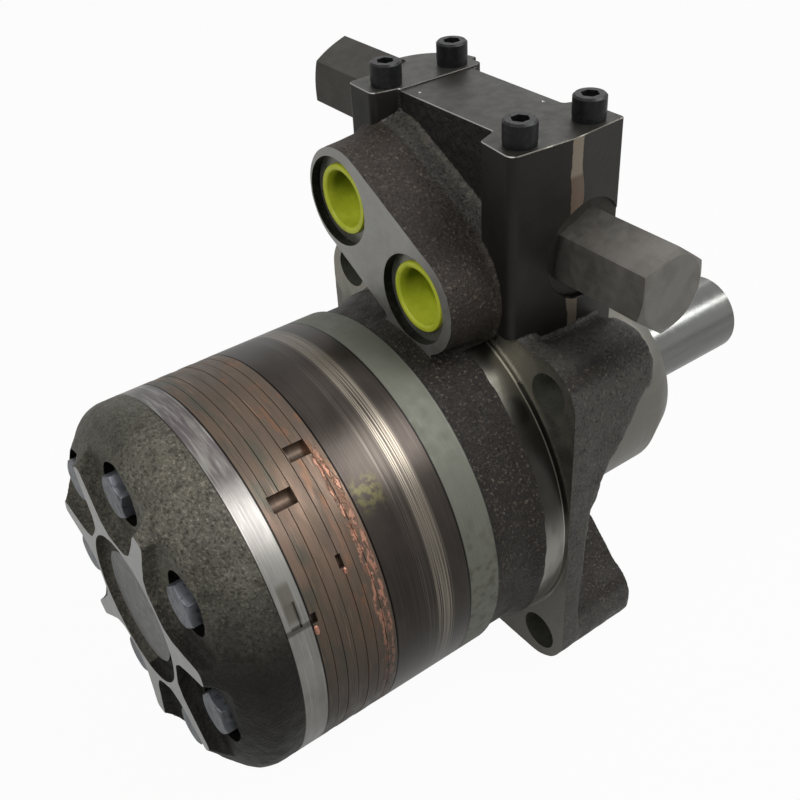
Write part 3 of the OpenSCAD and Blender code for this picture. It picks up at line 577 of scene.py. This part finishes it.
def pilot_bright():
    """Turned pilot with painted reflections: darker over the top and far side, a dark band down the near side
    where it mirrors the dark body, brighter lower down, and a painted highlight on the relief.
    """
    f = Finish("pilot_bright", (140, 138, 131), metallic=0.9, roughness=0.3)
    wrap = f.wrapped()
    f.lay(f.rise(f.noise((8, 22, 1), wrap, detail=2), 0.42, 0.6), (122, 119, 112))
    # Painted reflection of the room over the top and far side.
    f.lay(f.rise(f.angle(), 62, 46), (74, 72, 65), 0.85)
    # Painted reflection of the dark body down the near side.
    f.lay(f.band(f.angle(), 46, 82, 9), (34, 32, 30), 0.88)
    # Painted highlight on the relief line at the flange.
    f.lay(f.band(f.x, -1.45, -0.7, 0.12), (190, 187, 178), 0.85)
    f.bump(f.noise((0.3, 40, 1), wrap), 0.03, 0.6)
    return f.done()


def turned_steel(name, colour, bright, roughness=0.3):
    """Turned steel with fine rings, and streaks left by the tool."""
    f = Finish(name, colour, metallic=0.95, roughness=roughness)
    wrap = f.wrapped()
    f.lay(f.rise(f.noise((40, 14, 1), wrap), 0.44, 0.6), bright, 0.5)
    rings = f.noise((0.35, 50, 1), wrap, detail=3)
    f.lay(f.rise(rings, 0.5, 0.68), bright, 0.2)
    f.rough(f.scaled(f.noise((3, 40, 1), wrap), roughness - 0.03, roughness + 0.05))
    return f.done()


def hex_satin(name, colour, dark, bright):
    """Plated hexagon with soft clouds and fine scratches."""
    f = Finish(name, colour, metallic=0.85, roughness=0.42)
    f.lay(f.rise(f.noise(9), 0.4, 0.62), dark)
    scratches = f.noise((0.6, 12, 0.6), detail=3)
    f.lay(f.rise(scratches, 0.56, 0.7), bright, 0.5)
    f.rough(f.scaled(f.noise(3), 0.34, 0.48))
    f.bump(scratches, 0.03, 0.6)
    return f.done()


def black_oxide():
    """Blackened screws."""
    f = Finish("black_oxide", (25, 25, 26), metallic=0.5, roughness=0.42, shine=0.4)
    f.lay(f.rise(f.noise(1.6), 0.48, 0.64), (33, 34, 36))
    f.rough(f.scaled(f.noise(1.2), 0.34, 0.5))
    f.bump(f.noise(0.5), 0.04, 0.6)
    return f.done()


def bolt_end():
    """Wiped grey ends of the cover bolts."""
    f = Finish("bolt_end", (112, 114, 120), metallic=0.55, roughness=0.36)
    f.lay(f.rise(f.noise((3, 2, 4), detail=2), 0.48, 0.62), (84, 86, 91))
    f.rough(f.scaled(f.noise(2), 0.34, 0.48))
    return f.done()


def seal_rubber():
    """Matt black rubber."""
    f = Finish("seal_rubber", (30, 29, 27), roughness=0.6, shine=0.3)
    f.lay(f.rise(f.noise(2), 0.45, 0.65), (38, 37, 34))
    f.bump(f.noise(0.6), 0.05, 0.5)
    return f.done()


def plug_moulded(name, centre):
    """Yellow-green moulded plastic, with painted shade inside the cup: darker green there, most of all at the top.
    """
    f = Finish(name, (210, 218, 68), roughness=0.36, shine=0.3)
    f.lay(f.rise(f.noise(6), 0.4, 0.62), (196, 206, 56))
    upper = f.rise(f.math("SUBTRACT", f.z, f.scaled(f.noise(5), centre[1] - 0.8, centre[1] + 0.8)), -7, 5)
    # Painted shade: the upper inside of the cup is laid dark green.
    f.lay(f.both(f.rise(f.x, -17.2, -14), upper), (76, 90, 6), 0.94)
    # Painted shade: darker deep in the cup.
    f.lay(f.rise(f.x, -8.5, -6.4), (146, 161, 26), 0.8)
    f.bump(f.noise(1.4), 0.03, 0.5)
    return f.done()


def braze_pink():
    """Drops of copper braze on the sheets."""
    f = Finish("braze_pink", (176, 128, 108), metallic=0.8, roughness=0.36)
    f.lay(f.rise(f.noise(0.8), 0.42, 0.6), (132, 92, 76))
    f.bump(f.noise(0.6), 0.1, 0.7)
    return f.done()


MATERIALS = {}
for made in (body_cast(), machined_face(), recess_oily(), tower_black(), tower_top(), edge_glint(),
             waist_cast(), flange_rear(), cover_cast(), web_machined(), counterbore_dark(), silver_ring(),
             copper_stack(), stator_dark(), wear_grey(), pilot_bright(),
             turned_steel("nose_satin", (116, 114, 107), (124, 122, 115), 0.36),
             turned_steel("shaft_bright", (116, 117, 115), (126, 126, 123), 0.22),
             turned_steel("bearing_steel", (140, 139, 136), (158, 157, 154), 0.24),
             hex_satin("hex_satin", (120, 117, 112), (110, 107, 102), (127, 124, 119)),
             # The far cap's copy of the hexagon finish is darker: painted shade.
             hex_satin("hex_shaded", (75, 73, 69), (68, 66, 62), (82, 80, 76)),
             black_oxide(), bolt_end(), seal_rubber(), plug_moulded("upper_plug_green", UPPER_PORT),
             plug_moulded("lower_plug_green", LOWER_PORT), braze_pink()):
    MATERIALS[made.name] = made

# The finish of each CAD node that stays; bearings, seats, springs and other plain steel have none here
DRESS = {
    "housing": "body_cast", "end_cover": "cover_cast", "end_cover_bolts": "black_oxide",
    "commutator_ring": "silver_ring", "commutator_seal": "seal_rubber",
    "manifold": "copper_stack", "stator": "stator_dark", "wear_plate": "wear_grey",
    "output_shaft": "shaft_bright", "shaft_seal": "seal_rubber", "dust_seal": "seal_rubber",
    "body_seals": "seal_rubber", "tower_screws": "black_oxide", "tower_lock_washers": "black_oxide",
    "near_relief_cap": "hex_satin", "far_relief_cap": "hex_shaded", "relief_cap_seals": "seal_rubber",
    "upper_port_plug": "upper_plug_green", "lower_port_plug": "lower_plug_green",
}
for name, node in nodes.items():
    node.data.materials.clear()
    node.data.materials.append(MATERIALS[DRESS.get(name, "bearing_steel")])


# Bench tools: forms are added, shaped in edit mode, joined and cut

def lone(obj=None):
    """Object mode, with nothing picked but this one."""
    if bpy.context.object and bpy.context.object.mode != "OBJECT":
        bpy.ops.object.mode_set(mode="OBJECT")
    bpy.ops.object.select_all(action="DESELECT")
    if obj:
        obj.select_set(True)
        bpy.context.view_layer.objects.active = obj
    return obj


def open_whole(obj):
    """Edit mode with everything picked."""
    lone(obj)
    bpy.ops.object.mode_set(mode="EDIT")
    bpy.ops.mesh.select_all(action="SELECT")


def close():
    """Back to object mode, with the piece that was worked on."""
    bpy.ops.object.mode_set(mode="OBJECT")
    return bpy.context.object


def open_edges(obj, wanted):
    """Edit mode with the edges picked that the test on their two ends wants."""
    lone(obj)
    bpy.ops.object.mode_set(mode="EDIT")
    bpy.ops.mesh.select_mode(type="EDGE")
    bpy.ops.mesh.select_all(action="DESELECT")
    bpy.ops.object.mode_set(mode="OBJECT")
    spots = obj.data.vertices
    for edge in obj.data.edges:
        a, b = (spots[i].co / MM for i in edge.vertices)
        edge.select = wanted(a, b)
    bpy.ops.object.mode_set(mode="EDIT")


def open_points(obj, wanted):
    """Edit mode with the points picked that the test on their place wants."""
    lone(obj)
    bpy.ops.object.mode_set(mode="EDIT")
    bpy.ops.mesh.select_mode(type="VERT")
    bpy.ops.mesh.select_all(action="DESELECT")
    bpy.ops.object.mode_set(mode="OBJECT")
    for spot in obj.data.vertices:
        spot.select = wanted(spot.co / MM)
    bpy.ops.object.mode_set(mode="EDIT")


def open_faces(obj, wanted):
    """Edit mode with the faces picked that the test on place and normal wants."""
    lone(obj)
    bpy.ops.object.mode_set(mode="EDIT")
    bpy.ops.mesh.select_mode(type="FACE")
    bpy.ops.mesh.select_all(action="DESELECT")
    bpy.ops.object.mode_set(mode="OBJECT")
    for face in obj.data.polygons:
        face.select = wanted(face.center / MM, face.normal)
    bpy.ops.object.mode_set(mode="EDIT")


def block(low, high):
    """A box between two corners."""
    lone()
    bpy.ops.mesh.primitive_cube_add(size=1, location=[(a + b) / 2 * MM for a, b in zip(low, high)],
                                    scale=[(b - a) * MM for a, b in zip(low, high)])
    bpy.ops.object.transform_apply(location=True, rotation=True, scale=True)
    return bpy.context.object


LAID = {"X": (0, math.pi / 2, 0), "Y": (-math.pi / 2, 0, 0), "Z": (0, 0, 0)}


def rod(axis, low, high, centre, radius, sides=96):
    """A round bar along an axis from low to high, round a centre given in the other two directions."""
    lone()
    place = list(centre)
    place.insert("XYZ".index(axis), (low + high) / 2)
    bpy.ops.mesh.primitive_cylinder_add(vertices=sides, radius=radius * MM, depth=(high - low) * MM,
                                        location=[c * MM for c in place], rotation=LAID[axis])
    bpy.ops.object.transform_apply(location=True, rotation=True, scale=True)
    return bpy.context.object


def outline(points):
    """Draws a closed outline from its first point on, and fills it."""
    lone()
    bpy.ops.mesh.primitive_plane_add(size=MM)
    bpy.ops.object.mode_set(mode="EDIT")
    bpy.ops.mesh.select_mode(type="VERT")
    bpy.ops.mesh.merge(type="CENTER")
    bpy.ops.transform.translate(value=Vector(points[0]) * MM)
    for a, b in zip(points, points[1:]):
        step = (Vector(b) - Vector(a)) * MM
        bpy.ops.mesh.extrude_region_move(TRANSFORM_OT_translate={"value": step})
    bpy.ops.mesh.select_all(action="SELECT")
    bpy.ops.mesh.edge_face_add()
    return bpy.context.object


def lathe(profile, steps=128):
    """Spins a closed outline of (x, radius) points round the shaft."""
    outline([(x, 0, r) for x, r in profile])
    bpy.ops.mesh.delete(type="ONLY_FACE")
    bpy.ops.mesh.select_all(action="SELECT")
    bpy.ops.mesh.spin(steps=steps, angle=2 * math.pi, center=(0, 0, 0), axis=(1, 0, 0))
    bpy.ops.mesh.select_all(action="SELECT")
    bpy.ops.mesh.remove_doubles(threshold=0.005 * MM)
    bpy.ops.mesh.delete_loose(use_verts=True, use_edges=True, use_faces=False)
    bpy.ops.mesh.select_all(action="SELECT")
    bpy.ops.mesh.normals_make_consistent(inside=False)
    return close()


def prism(points, rise):
    """A filled outline drawn out along a direction."""
    outline(points)
    bpy.ops.mesh.extrude_region_move(TRANSFORM_OT_translate={"value": Vector(rise) * MM})
    bpy.ops.mesh.select_all(action="SELECT")
    bpy.ops.mesh.normals_make_consistent(inside=False)
    return close()


def turn(obj, axis, degrees, centre=(0, 0, 0)):
    """Turns a form about an axis through a centre; about X, from the top down the near side."""
    open_whole(obj)
    bpy.ops.transform.rotate(value=-math.radians(degrees), orient_axis=axis, center_override=Vector(centre) * MM)
    return close()


def shift(obj, by):
    """Moves a form by so many millimetres each way."""
    open_whole(obj)
    bpy.ops.transform.translate(value=Vector(by) * MM)
    return close()


def twin(obj):
    """A copy with its own mesh."""
    lone(obj)
    bpy.ops.object.duplicate()
    return bpy.context.object


def round_the_stack(form):
    """The form at the top and its copies at the other bolts."""
    return [form] + [turn(twin(form), "X", 360 / BOLT_COUNT * i) for i in range(1, BOLT_COUNT)]


def soften(obj, width, segments, wanted):
    """Rounds the edges that the test on their ends wants."""
    open_edges(obj, wanted)
    bpy.ops.mesh.bevel(offset=width * MM, segments=segments, affect="EDGES")
    return close()


def join(*objs):
    """Puts forms into one piece as they are. Their finishes are set after this."""
    lone(objs[0])
    for o in objs[1:]:
        o.select_set(True)
    bpy.ops.object.join()
    return objs[0]


def worked(obj, kind, **values):
    """Adds a modifier and applies it."""
    mod = obj.modifiers.new(kind.lower(), kind)
    for key, value in values.items():
        setattr(mod, key, value)
    lone(obj)
    bpy.ops.object.modifier_apply(modifier=mod.name)
    return obj


def cut(obj, *tools, solver="MANIFOLD"):
    """Takes the tools' room out of a form. The cut faces get the tools' finishes."""
    for tool in tools:
        worked(obj, "BOOLEAN", operation="DIFFERENCE", solver=solver, object=tool)
        bpy.data.objects.remove(tool)
    return obj


def weld(form, *others):
    """Makes one closed form of several."""
    for other in others:
        worked(form, "BOOLEAN", operation="UNION", solver="MANIFOLD", object=other)
        bpy.data.objects.remove(other)
    return form


def cast(obj, grain, rounds, wave, wave_size):
    """Gives a form the soft corners and slightly uneven skin of sand casting."""
    worked(obj, "REMESH", mode="VOXEL", voxel_size=grain * MM)
    worked(obj, "SMOOTH", factor=0.5, iterations=rounds)
    skin = bpy.data.textures.new("sand_skin", "CLOUDS")
    skin.noise_scale = wave_size * MM
    skin.noise_depth = 3
    return worked(obj, "DISPLACE", texture=skin, texture_coords="LOCAL", strength=wave * MM, mid_level=0.5)


SLOTS = 10  # as many as the housing, the piece with the most finishes, needs


def faced(obj, index, test=None):
    """Gives a form, or the faces that the test on place and normal wants, the finish with that number."""
    while len(obj.data.materials) < SLOTS:
        obj.data.materials.append(None)
    for face in obj.data.polygons:
        if test is None or test(face.center / MM, face.normal):
            face.material_index = index
    return obj


def put_on(obj, name, body, finishes, *replaced, slot, angle=35):
    """Smooths, names and finishes a piece, and fixes it to the body that it moves with."""
    lone(obj)
    bpy.ops.object.shade_smooth_by_angle(angle=math.radians(angle))
    worked(obj, "WEIGHTED_NORMAL", keep_sharp=True)
    obj.name = name
    obj.data.name = name
    while len(obj.data.materials) > len(finishes):
        obj.data.materials.pop()
    while len(obj.data.materials) < len(finishes):
        obj.data.materials.append(None)
    for index, finish in enumerate(finishes):
        obj.data.materials[index] = MATERIALS[finish]
    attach(obj, body)
    if replaced:
        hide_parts(*replaced)
    return obj


# Housing

CAST, FACED, BLACK, TOP, GLINT, WAIST, REAR, RECESS, BORE, PILOT = range(10)
HOUSING_FINISHES = ["body_cast", "machined_face", "tower_black", "tower_top", "edge_glint", "waist_cast",
                    "flange_rear", "recess_oily", "counterbore_dark", "pilot_bright"]


def port_boss(profile, sides=96):
    """A round boss over the lower port whose upper half is drawn out to the upper port."""
    form = shift(lathe(profile, sides), (0, BOSS_FOOT[0], BOSS_FOOT[1]))
    span = Vector((0, BOSS_TOP[0] - BOSS_FOOT[0], BOSS_TOP[1] - BOSS_FOOT[1]))
    middle = Vector((0, BOSS_FOOT[0], BOSS_FOOT[1]))
    open_points(form, lambda p: (p - middle).dot(span) > 0.001)
    bpy.ops.transform.translate(value=span * MM)
    return close()


def flange_plate():
    """The square plate with rounded corners."""
    plate = block((-3, -PLATE_HALF, -PLATE_HALF), (PLATE_FRONT, PLATE_HALF, PLATE_HALF))
    return soften(plate, PLATE_CORNER, 12, lambda a, b: abs(a.x - b.x) > 5)


def lugs():
    """Two crossed bars with rounded ends."""
    reach = LUG_END * math.sqrt(2)
    bars = [turn(block((0, -reach, -LUG_HALF), (LUG_FRONT, reach, LUG_HALF)), "X", angle) for angle in (45, 135)]
    return bars + [rod("X", 0, LUG_FRONT, (y, z), LUG_RADIUS, 64)
                   for y in (-LUG_END, LUG_END) for z in (-LUG_END, LUG_END)]


def side_webs():
    """The plate's drafted sides, which sweep out in front to meet the upper lugs."""
    front = [(33, 50), (30.9, 46), (27.4, 38.5), (22.8, 30.4), (17, 23), (11.9, 12.5), (10, 4), (8.8, -12),
             (7.9, -32), (7.4, -50)]
    near = prism([(-2, -44, 50)] + [(x, -44, z) for x, z in front] + [(-2, -44, -50)], (0, -19.9, 0))
    far = prism([(-2, 44, 50)] + [(x, 44, z) for x, z in front] + [(-2, 44, -50)], (0, 19.9, 0))
    return [near, far]


def gusset():
    """The sand-cast fill between the upper near lug and the foot of the tower."""
    rear = [(-36, 63), (-39.5, 61.6), (-45, 61.2), (-52, 62), (-44, 46), (-36, 46)]
    return prism([(4, y, z) for y, z in rear], (29, 0, 0))


def tower_block(inset=0.0):
    """The machined valve tower: ears at both ends, a waist between them and the far valve's boss."""
    i = inset
    plan = [(-3.2 + i, -37.7 + i), (20, -39.6 + i), (40.4 - i, -38 + i), (40.4 - i, -20.5 - i),
            (34.9 - i, -18 - i), (34.9 - i, 23.4 + i), (39.4 - i, 25 + i), (39.4 - i, 41 - i),
            (-2.6 + i, 41 - i), (-3.4 + i, 27 + i), (5.9 + i, 24.8 + i), (5.9 + i, -19.8 - i),
            (-1.4 + i, -22.6 - i)]
    form = prism([(x, y, TOWER_FOOT) for x, y in plan], (0, 0, TOWER_RISE))

    def upright_at(*spots):
        return lambda a, b: abs(a.z - b.z) > 20 and any(abs(a.x - x) < 1 and abs(a.y - y) < 1 for x, y in spots)
    soften(form, 3, 6, upright_at((-3.2, -37.7), (39.4, 41)))
    soften(form, 2, 5, upright_at((20, -39.6), (-2.6, 41), (-3.4, 27)))
    soften(form, 1, 4, upright_at((40.4, -38), (40.4, -20.5), (34.9, -18), (34.9, 23.4), (39.4, 25),
                                  (5.9, 24.8), (5.9, -19.8), (-1.4, -22.6)))
    boss = cut(rod("Z", 92.5, 129, FAR_BOSS, 20 - i, 96), block((-20, -20, 60), (60, 30, 140)))
    weld(form, boss)
    cut(form, block((-40, -60, EAR_TOP - i), (60, 60, 140)),
        block((-40, -60, TOWER_TOP - i), (60, 24.2, 140)), block((-40, -60, 30), (0, 60, 65.2)))
    return form


def tower_skin():
    """The tower's smooth machined outside, which is welded over the sand-cast form."""
    form = tower_block()
    open_whole(form)
    bpy.ops.mesh.dissolve_limited(angle_limit=math.radians(1))
    close()
    open_faces(form, lambda c, n: n.z > 0.98)
    bpy.ops.mesh.region_to_loop()
    bpy.ops.mesh.bevel(offset=0.25 * MM, segments=1, affect="EDGES")
    close()
    faced(form, BLACK)
    faced(form, WAIST, lambda c, n: n.x < -0.4 and 3 < c.x < 8 and -21 < c.y < 26)
    # The bevels below the top take the painted glint; those facing the port side take the brighter faced finish,
    # also as painted glint.
    faced(form, GLINT, lambda c, n: 0.1 < n.z < 0.98 and c.z < TOWER_TOP)
    faced(form, TOP, lambda c, n: 0.1 < n.z < 0.98 and c.z > TOWER_TOP)
    faced(form, FACED, lambda c, n: 0.1 < n.z < 0.98 and n.x < -0.4)
    faced(form, TOP, lambda c, n: n.z > 0.98)
    cut(form, faced(rod("Y", -60, NEAR_SEAT, SEAT_RING, SEAT_RADIUS, 128), TOP))

    def on_rim(p):
        out = math.hypot(p.x - SEAT_RING[0], p.z - SEAT_RING[1])
        return p.y < NEAR_SEAT - 0.3 and abs(out - SEAT_RADIUS) < 0.06
    # The seat's rim is bevelled with the painted glint.
    open_edges(form, lambda a, b: on_rim(a) and on_rim(b))
    bpy.ops.mesh.bevel(offset=0.22 * MM, segments=1, affect="EDGES", material=GLINT)
    return close()


def housing_pattern():
    """The whole casting as one rough form."""
    body = lathe([(-32, 0), (-32, BODY_RADIUS), (-15, BODY_RADIUS), (-8.5, 63.8), (-4, 63.9), (2, 63.9), (2, 0)])
    hub = soften(rod("X", 0, 34, (0, 0), HUB_RADIUS, 128), 4, 4, lambda a, b: a.x > 33 and b.x > 33)
    belly = port_boss([(-24, 0), (-24, 17.4), (-20, 17.7), (-9, 18.5), (-1, 19.8), (6.5, 21.9), (9, 22.4), (9, 0)])
    root = lathe([(30, 0), (30, 42.4), (34.4, 42.4), (37, 37.2), (39, 36.8), (39, 0)])
    core = tower_block(0.5)
    return weld(body, flange_plate(), hub, *lugs(), *side_webs(), root, core, belly, gusset())


def housing_casting():
    """The sand-cast form with its machined tower, faces, bores and holes."""
    form = faced(cast(housing_pattern(), 1.2, 7, 0.4, 5), CAST)
    weld(form, tower_skin())
    behind = faced(block((-12, -90, -90), (0, 90, 90)), REAR)
    cut(behind, faced(rod("X", -40, 20, (0, 0), PILOT_RADIUS, 256), PILOT),
        port_boss([(-30, 0), (-30, 20.5), (10, 20.5), (10, 0)]), block((-20, -42, 65.3), (20, 44, 140)))
    relief = lathe([(-1.2, 63.1), (-1.2, 64.6), (0.02, 64.6), (0.02, 63.1)], 256)
    cut(relief, block((-20, -42, 50), (20, 44, 140)))
    port_side = faced(block((-60, -90, 50), (PORT_FACE, 90, 140)), FACED)
    cut(port_side, rod("X", -70, 0, (0, 0), 61.75, 192))
    far_seat = cut(rod("Y", FAR_SEAT, 90, FAR_CAP, 14.7), block((0, 40, 124.6), (60, 100, 140)))
    cut(form, behind, faced(relief, PILOT), port_side,
        faced(block((-60, -90, -90), (BODY_REAR, 90, 66)), FACED),
        faced(rod("Y", -60, NEAR_SEAT, SEAT_RING, SEAT_RADIUS - 0.1, 128), TOP), faced(far_seat, FACED))
    bores = weld(*[rod("X", start, end, (0, 0), radius) for start, end, radius in STEPPED_BORE])
    holes = round_the_stack(rod("X", -40, -13.4, (0, BOLT_CIRCLE), 4.1, 32))
    holes += [rod("Z", 117.2, 140, spot, 3.1, 32) for spot in SCREWS]
    holes += [rod("X", -30, 5.4, port, PORT_BORE, 64) for port in (UPPER_PORT, LOWER_PORT)]
    cut(form, faced(join(bores, *holes), BORE))
    drilled = [rod("X", -30, RECESS_FLOOR, port, RECESS_RADIUS) for port in (UPPER_PORT, LOWER_PORT)]
    drilled += [rod("X", -20, 50, (y, z), FLANGE_HOLE_RADIUS, 64)
                for y in (-FLANGE_HOLE, FLANGE_HOLE) for z in (-FLANGE_HOLE, FLANGE_HOLE)]
    drilled = faced(join(*drilled), RECESS)
    # The port recesses' walls take the near-black bore finish as painted shade.
    cut(form, faced(drilled, BORE, lambda c, n: abs(n.x) < 0.1 and c.z > 58))
    cut(form, faced(rod("Y", -39, 6, NEAR_CAP, VALVE_BORE, 64), BORE),
        faced(rod("Y", 0, 44, FAR_CAP, VALVE_BORE, 64), BORE))
    dot = turn(lathe([(-0.6, 0), (0.6, 1.2), (0.6, 0)], 12), "Y", -90)
    punched = [shift(one, (x, y, TOWER_TOP)) for one, (x, y) in zip((dot, twin(dot)), PUNCH_DOTS)]
    cut(form, faced(join(*punched), FACED))
    return put_on(form, "housing_casting", "motor_body", HOUSING_FINISHES, "housing", slot="housing", angle=38)


def nose():
    """The turned nose with its seal bore and bearing bore."""
    form = lathe([(NOSE_FOOT, 19.8), (NOSE_FOOT, NOSE_RADIUS), (71.5, NOSE_RADIUS), (NOSE_REACH, 32.3),
                  (NOSE_REACH, 31.6), (NOSE_REACH, 26.2), (66.2, 26.2), (66.2, 23.9), (40, 23.9), (40, 19.8)], 192)
    return put_on(form, "nose_turned", "motor_body", ["nose_satin"], slot="housing")


# End cover

SAND, WEB, SEAT = range(3)
COVER_FINISHES = ["cover_cast", "web_machined", "counterbore_dark"]
OXIDE, WIPED = range(2)
BOLT_FINISHES = ["black_oxide", "bolt_end"]

def pocket_core():
    """The core that leaves one bolt pocket: narrow at the hub, wide at the rim, with draft."""
    half = [(27.8, 0), (28, 5.2), (30.8, 9.2), (37.6, 13.6), (46.2, 18.6), (62, 17.4)]
    outline([(POCKET_FLOOR, y, z) for z, y in half] + [(POCKET_FLOOR, -y, z) for z, y in reversed(half[1:])])
    bpy.ops.mesh.extrude_region_move(TRANSFORM_OT_translate={"value": (-10 * MM, 0, 0)})
    bpy.ops.transform.resize(value=(1, 1.1, 1.1), center_override=(-129 * MM, 0, 44 * MM))
    bpy.ops.mesh.select_all(action="SELECT")
    bpy.ops.mesh.normals_make_consistent(inside=False)
    return close()


def cover_casting():
    """The sand-cast cover with its pockets, faced webs and drilled bolt seats."""
    shoulder = [(-106.4 - SHOULDER * math.sin(math.radians(a)), 52.9 + SHOULDER * math.cos(math.radians(a)))
                for a in range(0, 46, 9)]
    form = lathe([(-97, 0), (-97, STACK_RADIUS)] + shoulder + [(COVER_FACE, 48.6), (-127, 45), (-127, 0)], 160)
    groove = lathe([(-130, 18.7), (-130, 25.8), (-120.4, 25.2), (-119.8, 24.4), (-119.8, 19.6), (-120.4, 19)], 96)
    cut(form, groove, solver="EXACT")
    for core in round_the_stack(pocket_core()):
        cut(form, core, solver="EXACT")
    faced(cast(form, 0.85, 4, 0.3, 4), SAND)
    cut(form, faced(block((-140, -90, -90), (COVER_FACE, 90, 90)), WEB),
        faced(rod("X", -140, DISC_FACE, (0, 0), 22.5), WEB),
        faced(block((RING_REAR, -90, -90), (-80, 90, 90)), WEB))
    seat = rod("X", -140, BOLT_SEAT, (0, BOLT_CIRCLE), BOLT_SEAT_RADIUS, 64)
    hole = rod("X", -140, -90, (0, BOLT_CIRCLE), 4.35, 32)
    cut(form, faced(join(*round_the_stack(seat)), SEAT))
    cut(form, faced(join(*round_the_stack(hole)), SEAT))
    dot = shift(lathe([(-1, 0.9), (-1, 0), (0.8, 0)], 12), (DISC_FACE, -6, 3))
    cut(form, faced(dot, WEB))
    return put_on(form, "cover_casting", "motor_body", COVER_FINISHES, "end_cover", slot="end_cover", angle=38)


def cover_bolts():
    """Hexagon heads with chamfered corners and a washer face, each on its shank."""
    head = turn(rod("X", BOLT_HEAD, HEAD_FOOT, (0, BOLT_CIRCLE), HEAD_CORNER, 6), "X", 30, (0, 0, BOLT_CIRCLE))
    dome = lathe([(-122, 0), (-122, 4.6), (BOLT_HEAD, 6.2), (-117, 14), (-116, 14), (-116, 0)], 48)
    shift(dome, (0, 0, BOLT_CIRCLE))
    worked(head, "BOOLEAN", operation="INTERSECT", solver="EXACT", object=dome)
    bpy.data.objects.remove(dome)
    worked(head, "BEVEL", width=0.2 * MM, segments=2, limit_method="ANGLE")
    washer = rod("X", HEAD_FOOT - 0.2, BOLT_SEAT, (0, BOLT_CIRCLE), WASHER_RADIUS, 64)
    worked(washer, "BEVEL", width=0.3 * MM, segments=2, limit_method="ANGLE")
    shank = rod("X", BOLT_SEAT - 0.2, -14.5, (0, BOLT_CIRCLE), SHANK_RADIUS, 32)
    whole = faced(join(head, washer, shank), OXIDE)
    faced(whole, WIPED, lambda c, n: c.x < HEAD_FOOT - 0.3)
    for number, bolt in enumerate(round_the_stack(whole)):
        put_on(bolt, "cover_bolt_%d" % (number + 1), "motor_body", BOLT_FINISHES, "end_cover_bolts",
               slot="end_cover_bolts")


# Laminated manifold

SHEET, HOLE = range(2)
STACK_FINISHES = ["copper_stack", "counterbore_dark"]

def rounded_notch(x0, x1, degrees, radius, sink):
    """A groove milled with a round cutter across some sheets, at an angle from the top down the near side."""
    return turn(rod("X", x0, x1, (0, STACK_RADIUS - sink), radius, 40), "X", degrees)


def manifold_stack():
    """Seven brazed sheets of slightly uneven size, with their seams, notches and drops of braze."""
    seams = [-89.7, -86.1, -82.5, -78.9, -75.3, -71.7]
    radii = [62.9, 62.8, 62.88, 62.78, 62.9, 62.82, 62.86]
    profile = [(MANIFOLD_REAR, 12), (MANIFOLD_REAR, radii[0] - 0.15), (MANIFOLD_REAR + 0.15, radii[0])]
    for seam, before, after in zip(seams, radii, radii[1:]):
        profile += [(seam - 0.14, before), (seam, 62.62), (seam + 0.14, after)]
    profile += [(STATOR_REAR - 0.15, radii[-1]), (STATOR_REAR, radii[-1] - 0.15), (STATOR_REAR, 12)]
    form = faced(lathe(profile, 192), SHEET)
    cut(form, faced(join(*round_the_stack(rod("X", -100, -60, (0, BOLT_CIRCLE), 4.3, 32))), HOLE),
        faced(join(*round_the_stack(rod("X", -100, -60, (0, 30), 2.6, 24))), HOLE))
    for notch in (rounded_notch(-78.6, -71.7, 27.5, 2.6, 0.3), rounded_notch(-90.4, -82.5, 37.5, 2.6, 0.3),
                  rounded_notch(-80, -78.3, 58, 2.1, 0.5), rounded_notch(-94, -91.2, 68, 1.8, 1)):
        cut(form, faced(notch, SHEET))
    put_on(form, "manifold_stack", "motor_body", STACK_FINISHES, "manifold", slot="manifold")
    bpy.ops.object.select_all(action="DESELECT")
    for number, (x, degrees, size) in enumerate(((-78.6, 61, 0.8), (-92.4, 71.5, 1.1))):
        bpy.ops.mesh.primitive_ico_sphere_add(subdivisions=3, radius=size * MM,
                                              location=(x * MM, 0, (STACK_RADIUS - 0.1) * MM))
        blob = bpy.context.object
        bpy.ops.object.transform_apply(location=True, rotation=True, scale=True)
        open_whole(blob)
        bpy.ops.transform.resize(value=(0.8, 1.5, 0.6), center_override=(x * MM, 0, STACK_RADIUS * MM))
        bpy.ops.mesh.vertices_smooth(factor=0.3)
        close()
        turn(blob, "X", degrees)
        put_on(blob, "braze_blob_%d" % (number + 1), "motor_body", ["braze_pink"], slot="manifold")


# Port plugs

def port_plug(name, node, body, centre, finish):
    """A thin moulded cup whose rounded rim rests on the port's floor."""
    rim = RECESS_FLOOR
    form = lathe([(rim - 0.5, 9.25), (rim - 1.2, 9.7), (rim - 1.35, 10.5), (rim - 1.2, 11.3), (rim - 0.6, 11.6),
                  (rim, 11.6), (rim, 10.2), (rim + 11.6, 10.1), (rim + 12, 9.6), (rim + 12, 0), (rim + 10.8, 0),
                  (rim + 10.8, 8.2), (rim + 10.2, 8.9)], 96)
    shift(form, (0, centre[0], centre[1]))
    put_on(form, name, body, [finish], node, slot=node, angle=50)


# The motor is made

housing_casting()
nose()
cover_casting()
cover_bolts()
manifold_stack()
port_plug("upper_plug_moulded", "upper_port_plug", "upper_plug", UPPER_PORT, "upper_plug_green")
port_plug("lower_plug_moulded", "lower_port_plug", "lower_plug", LOWER_PORT, "lower_plug_green")
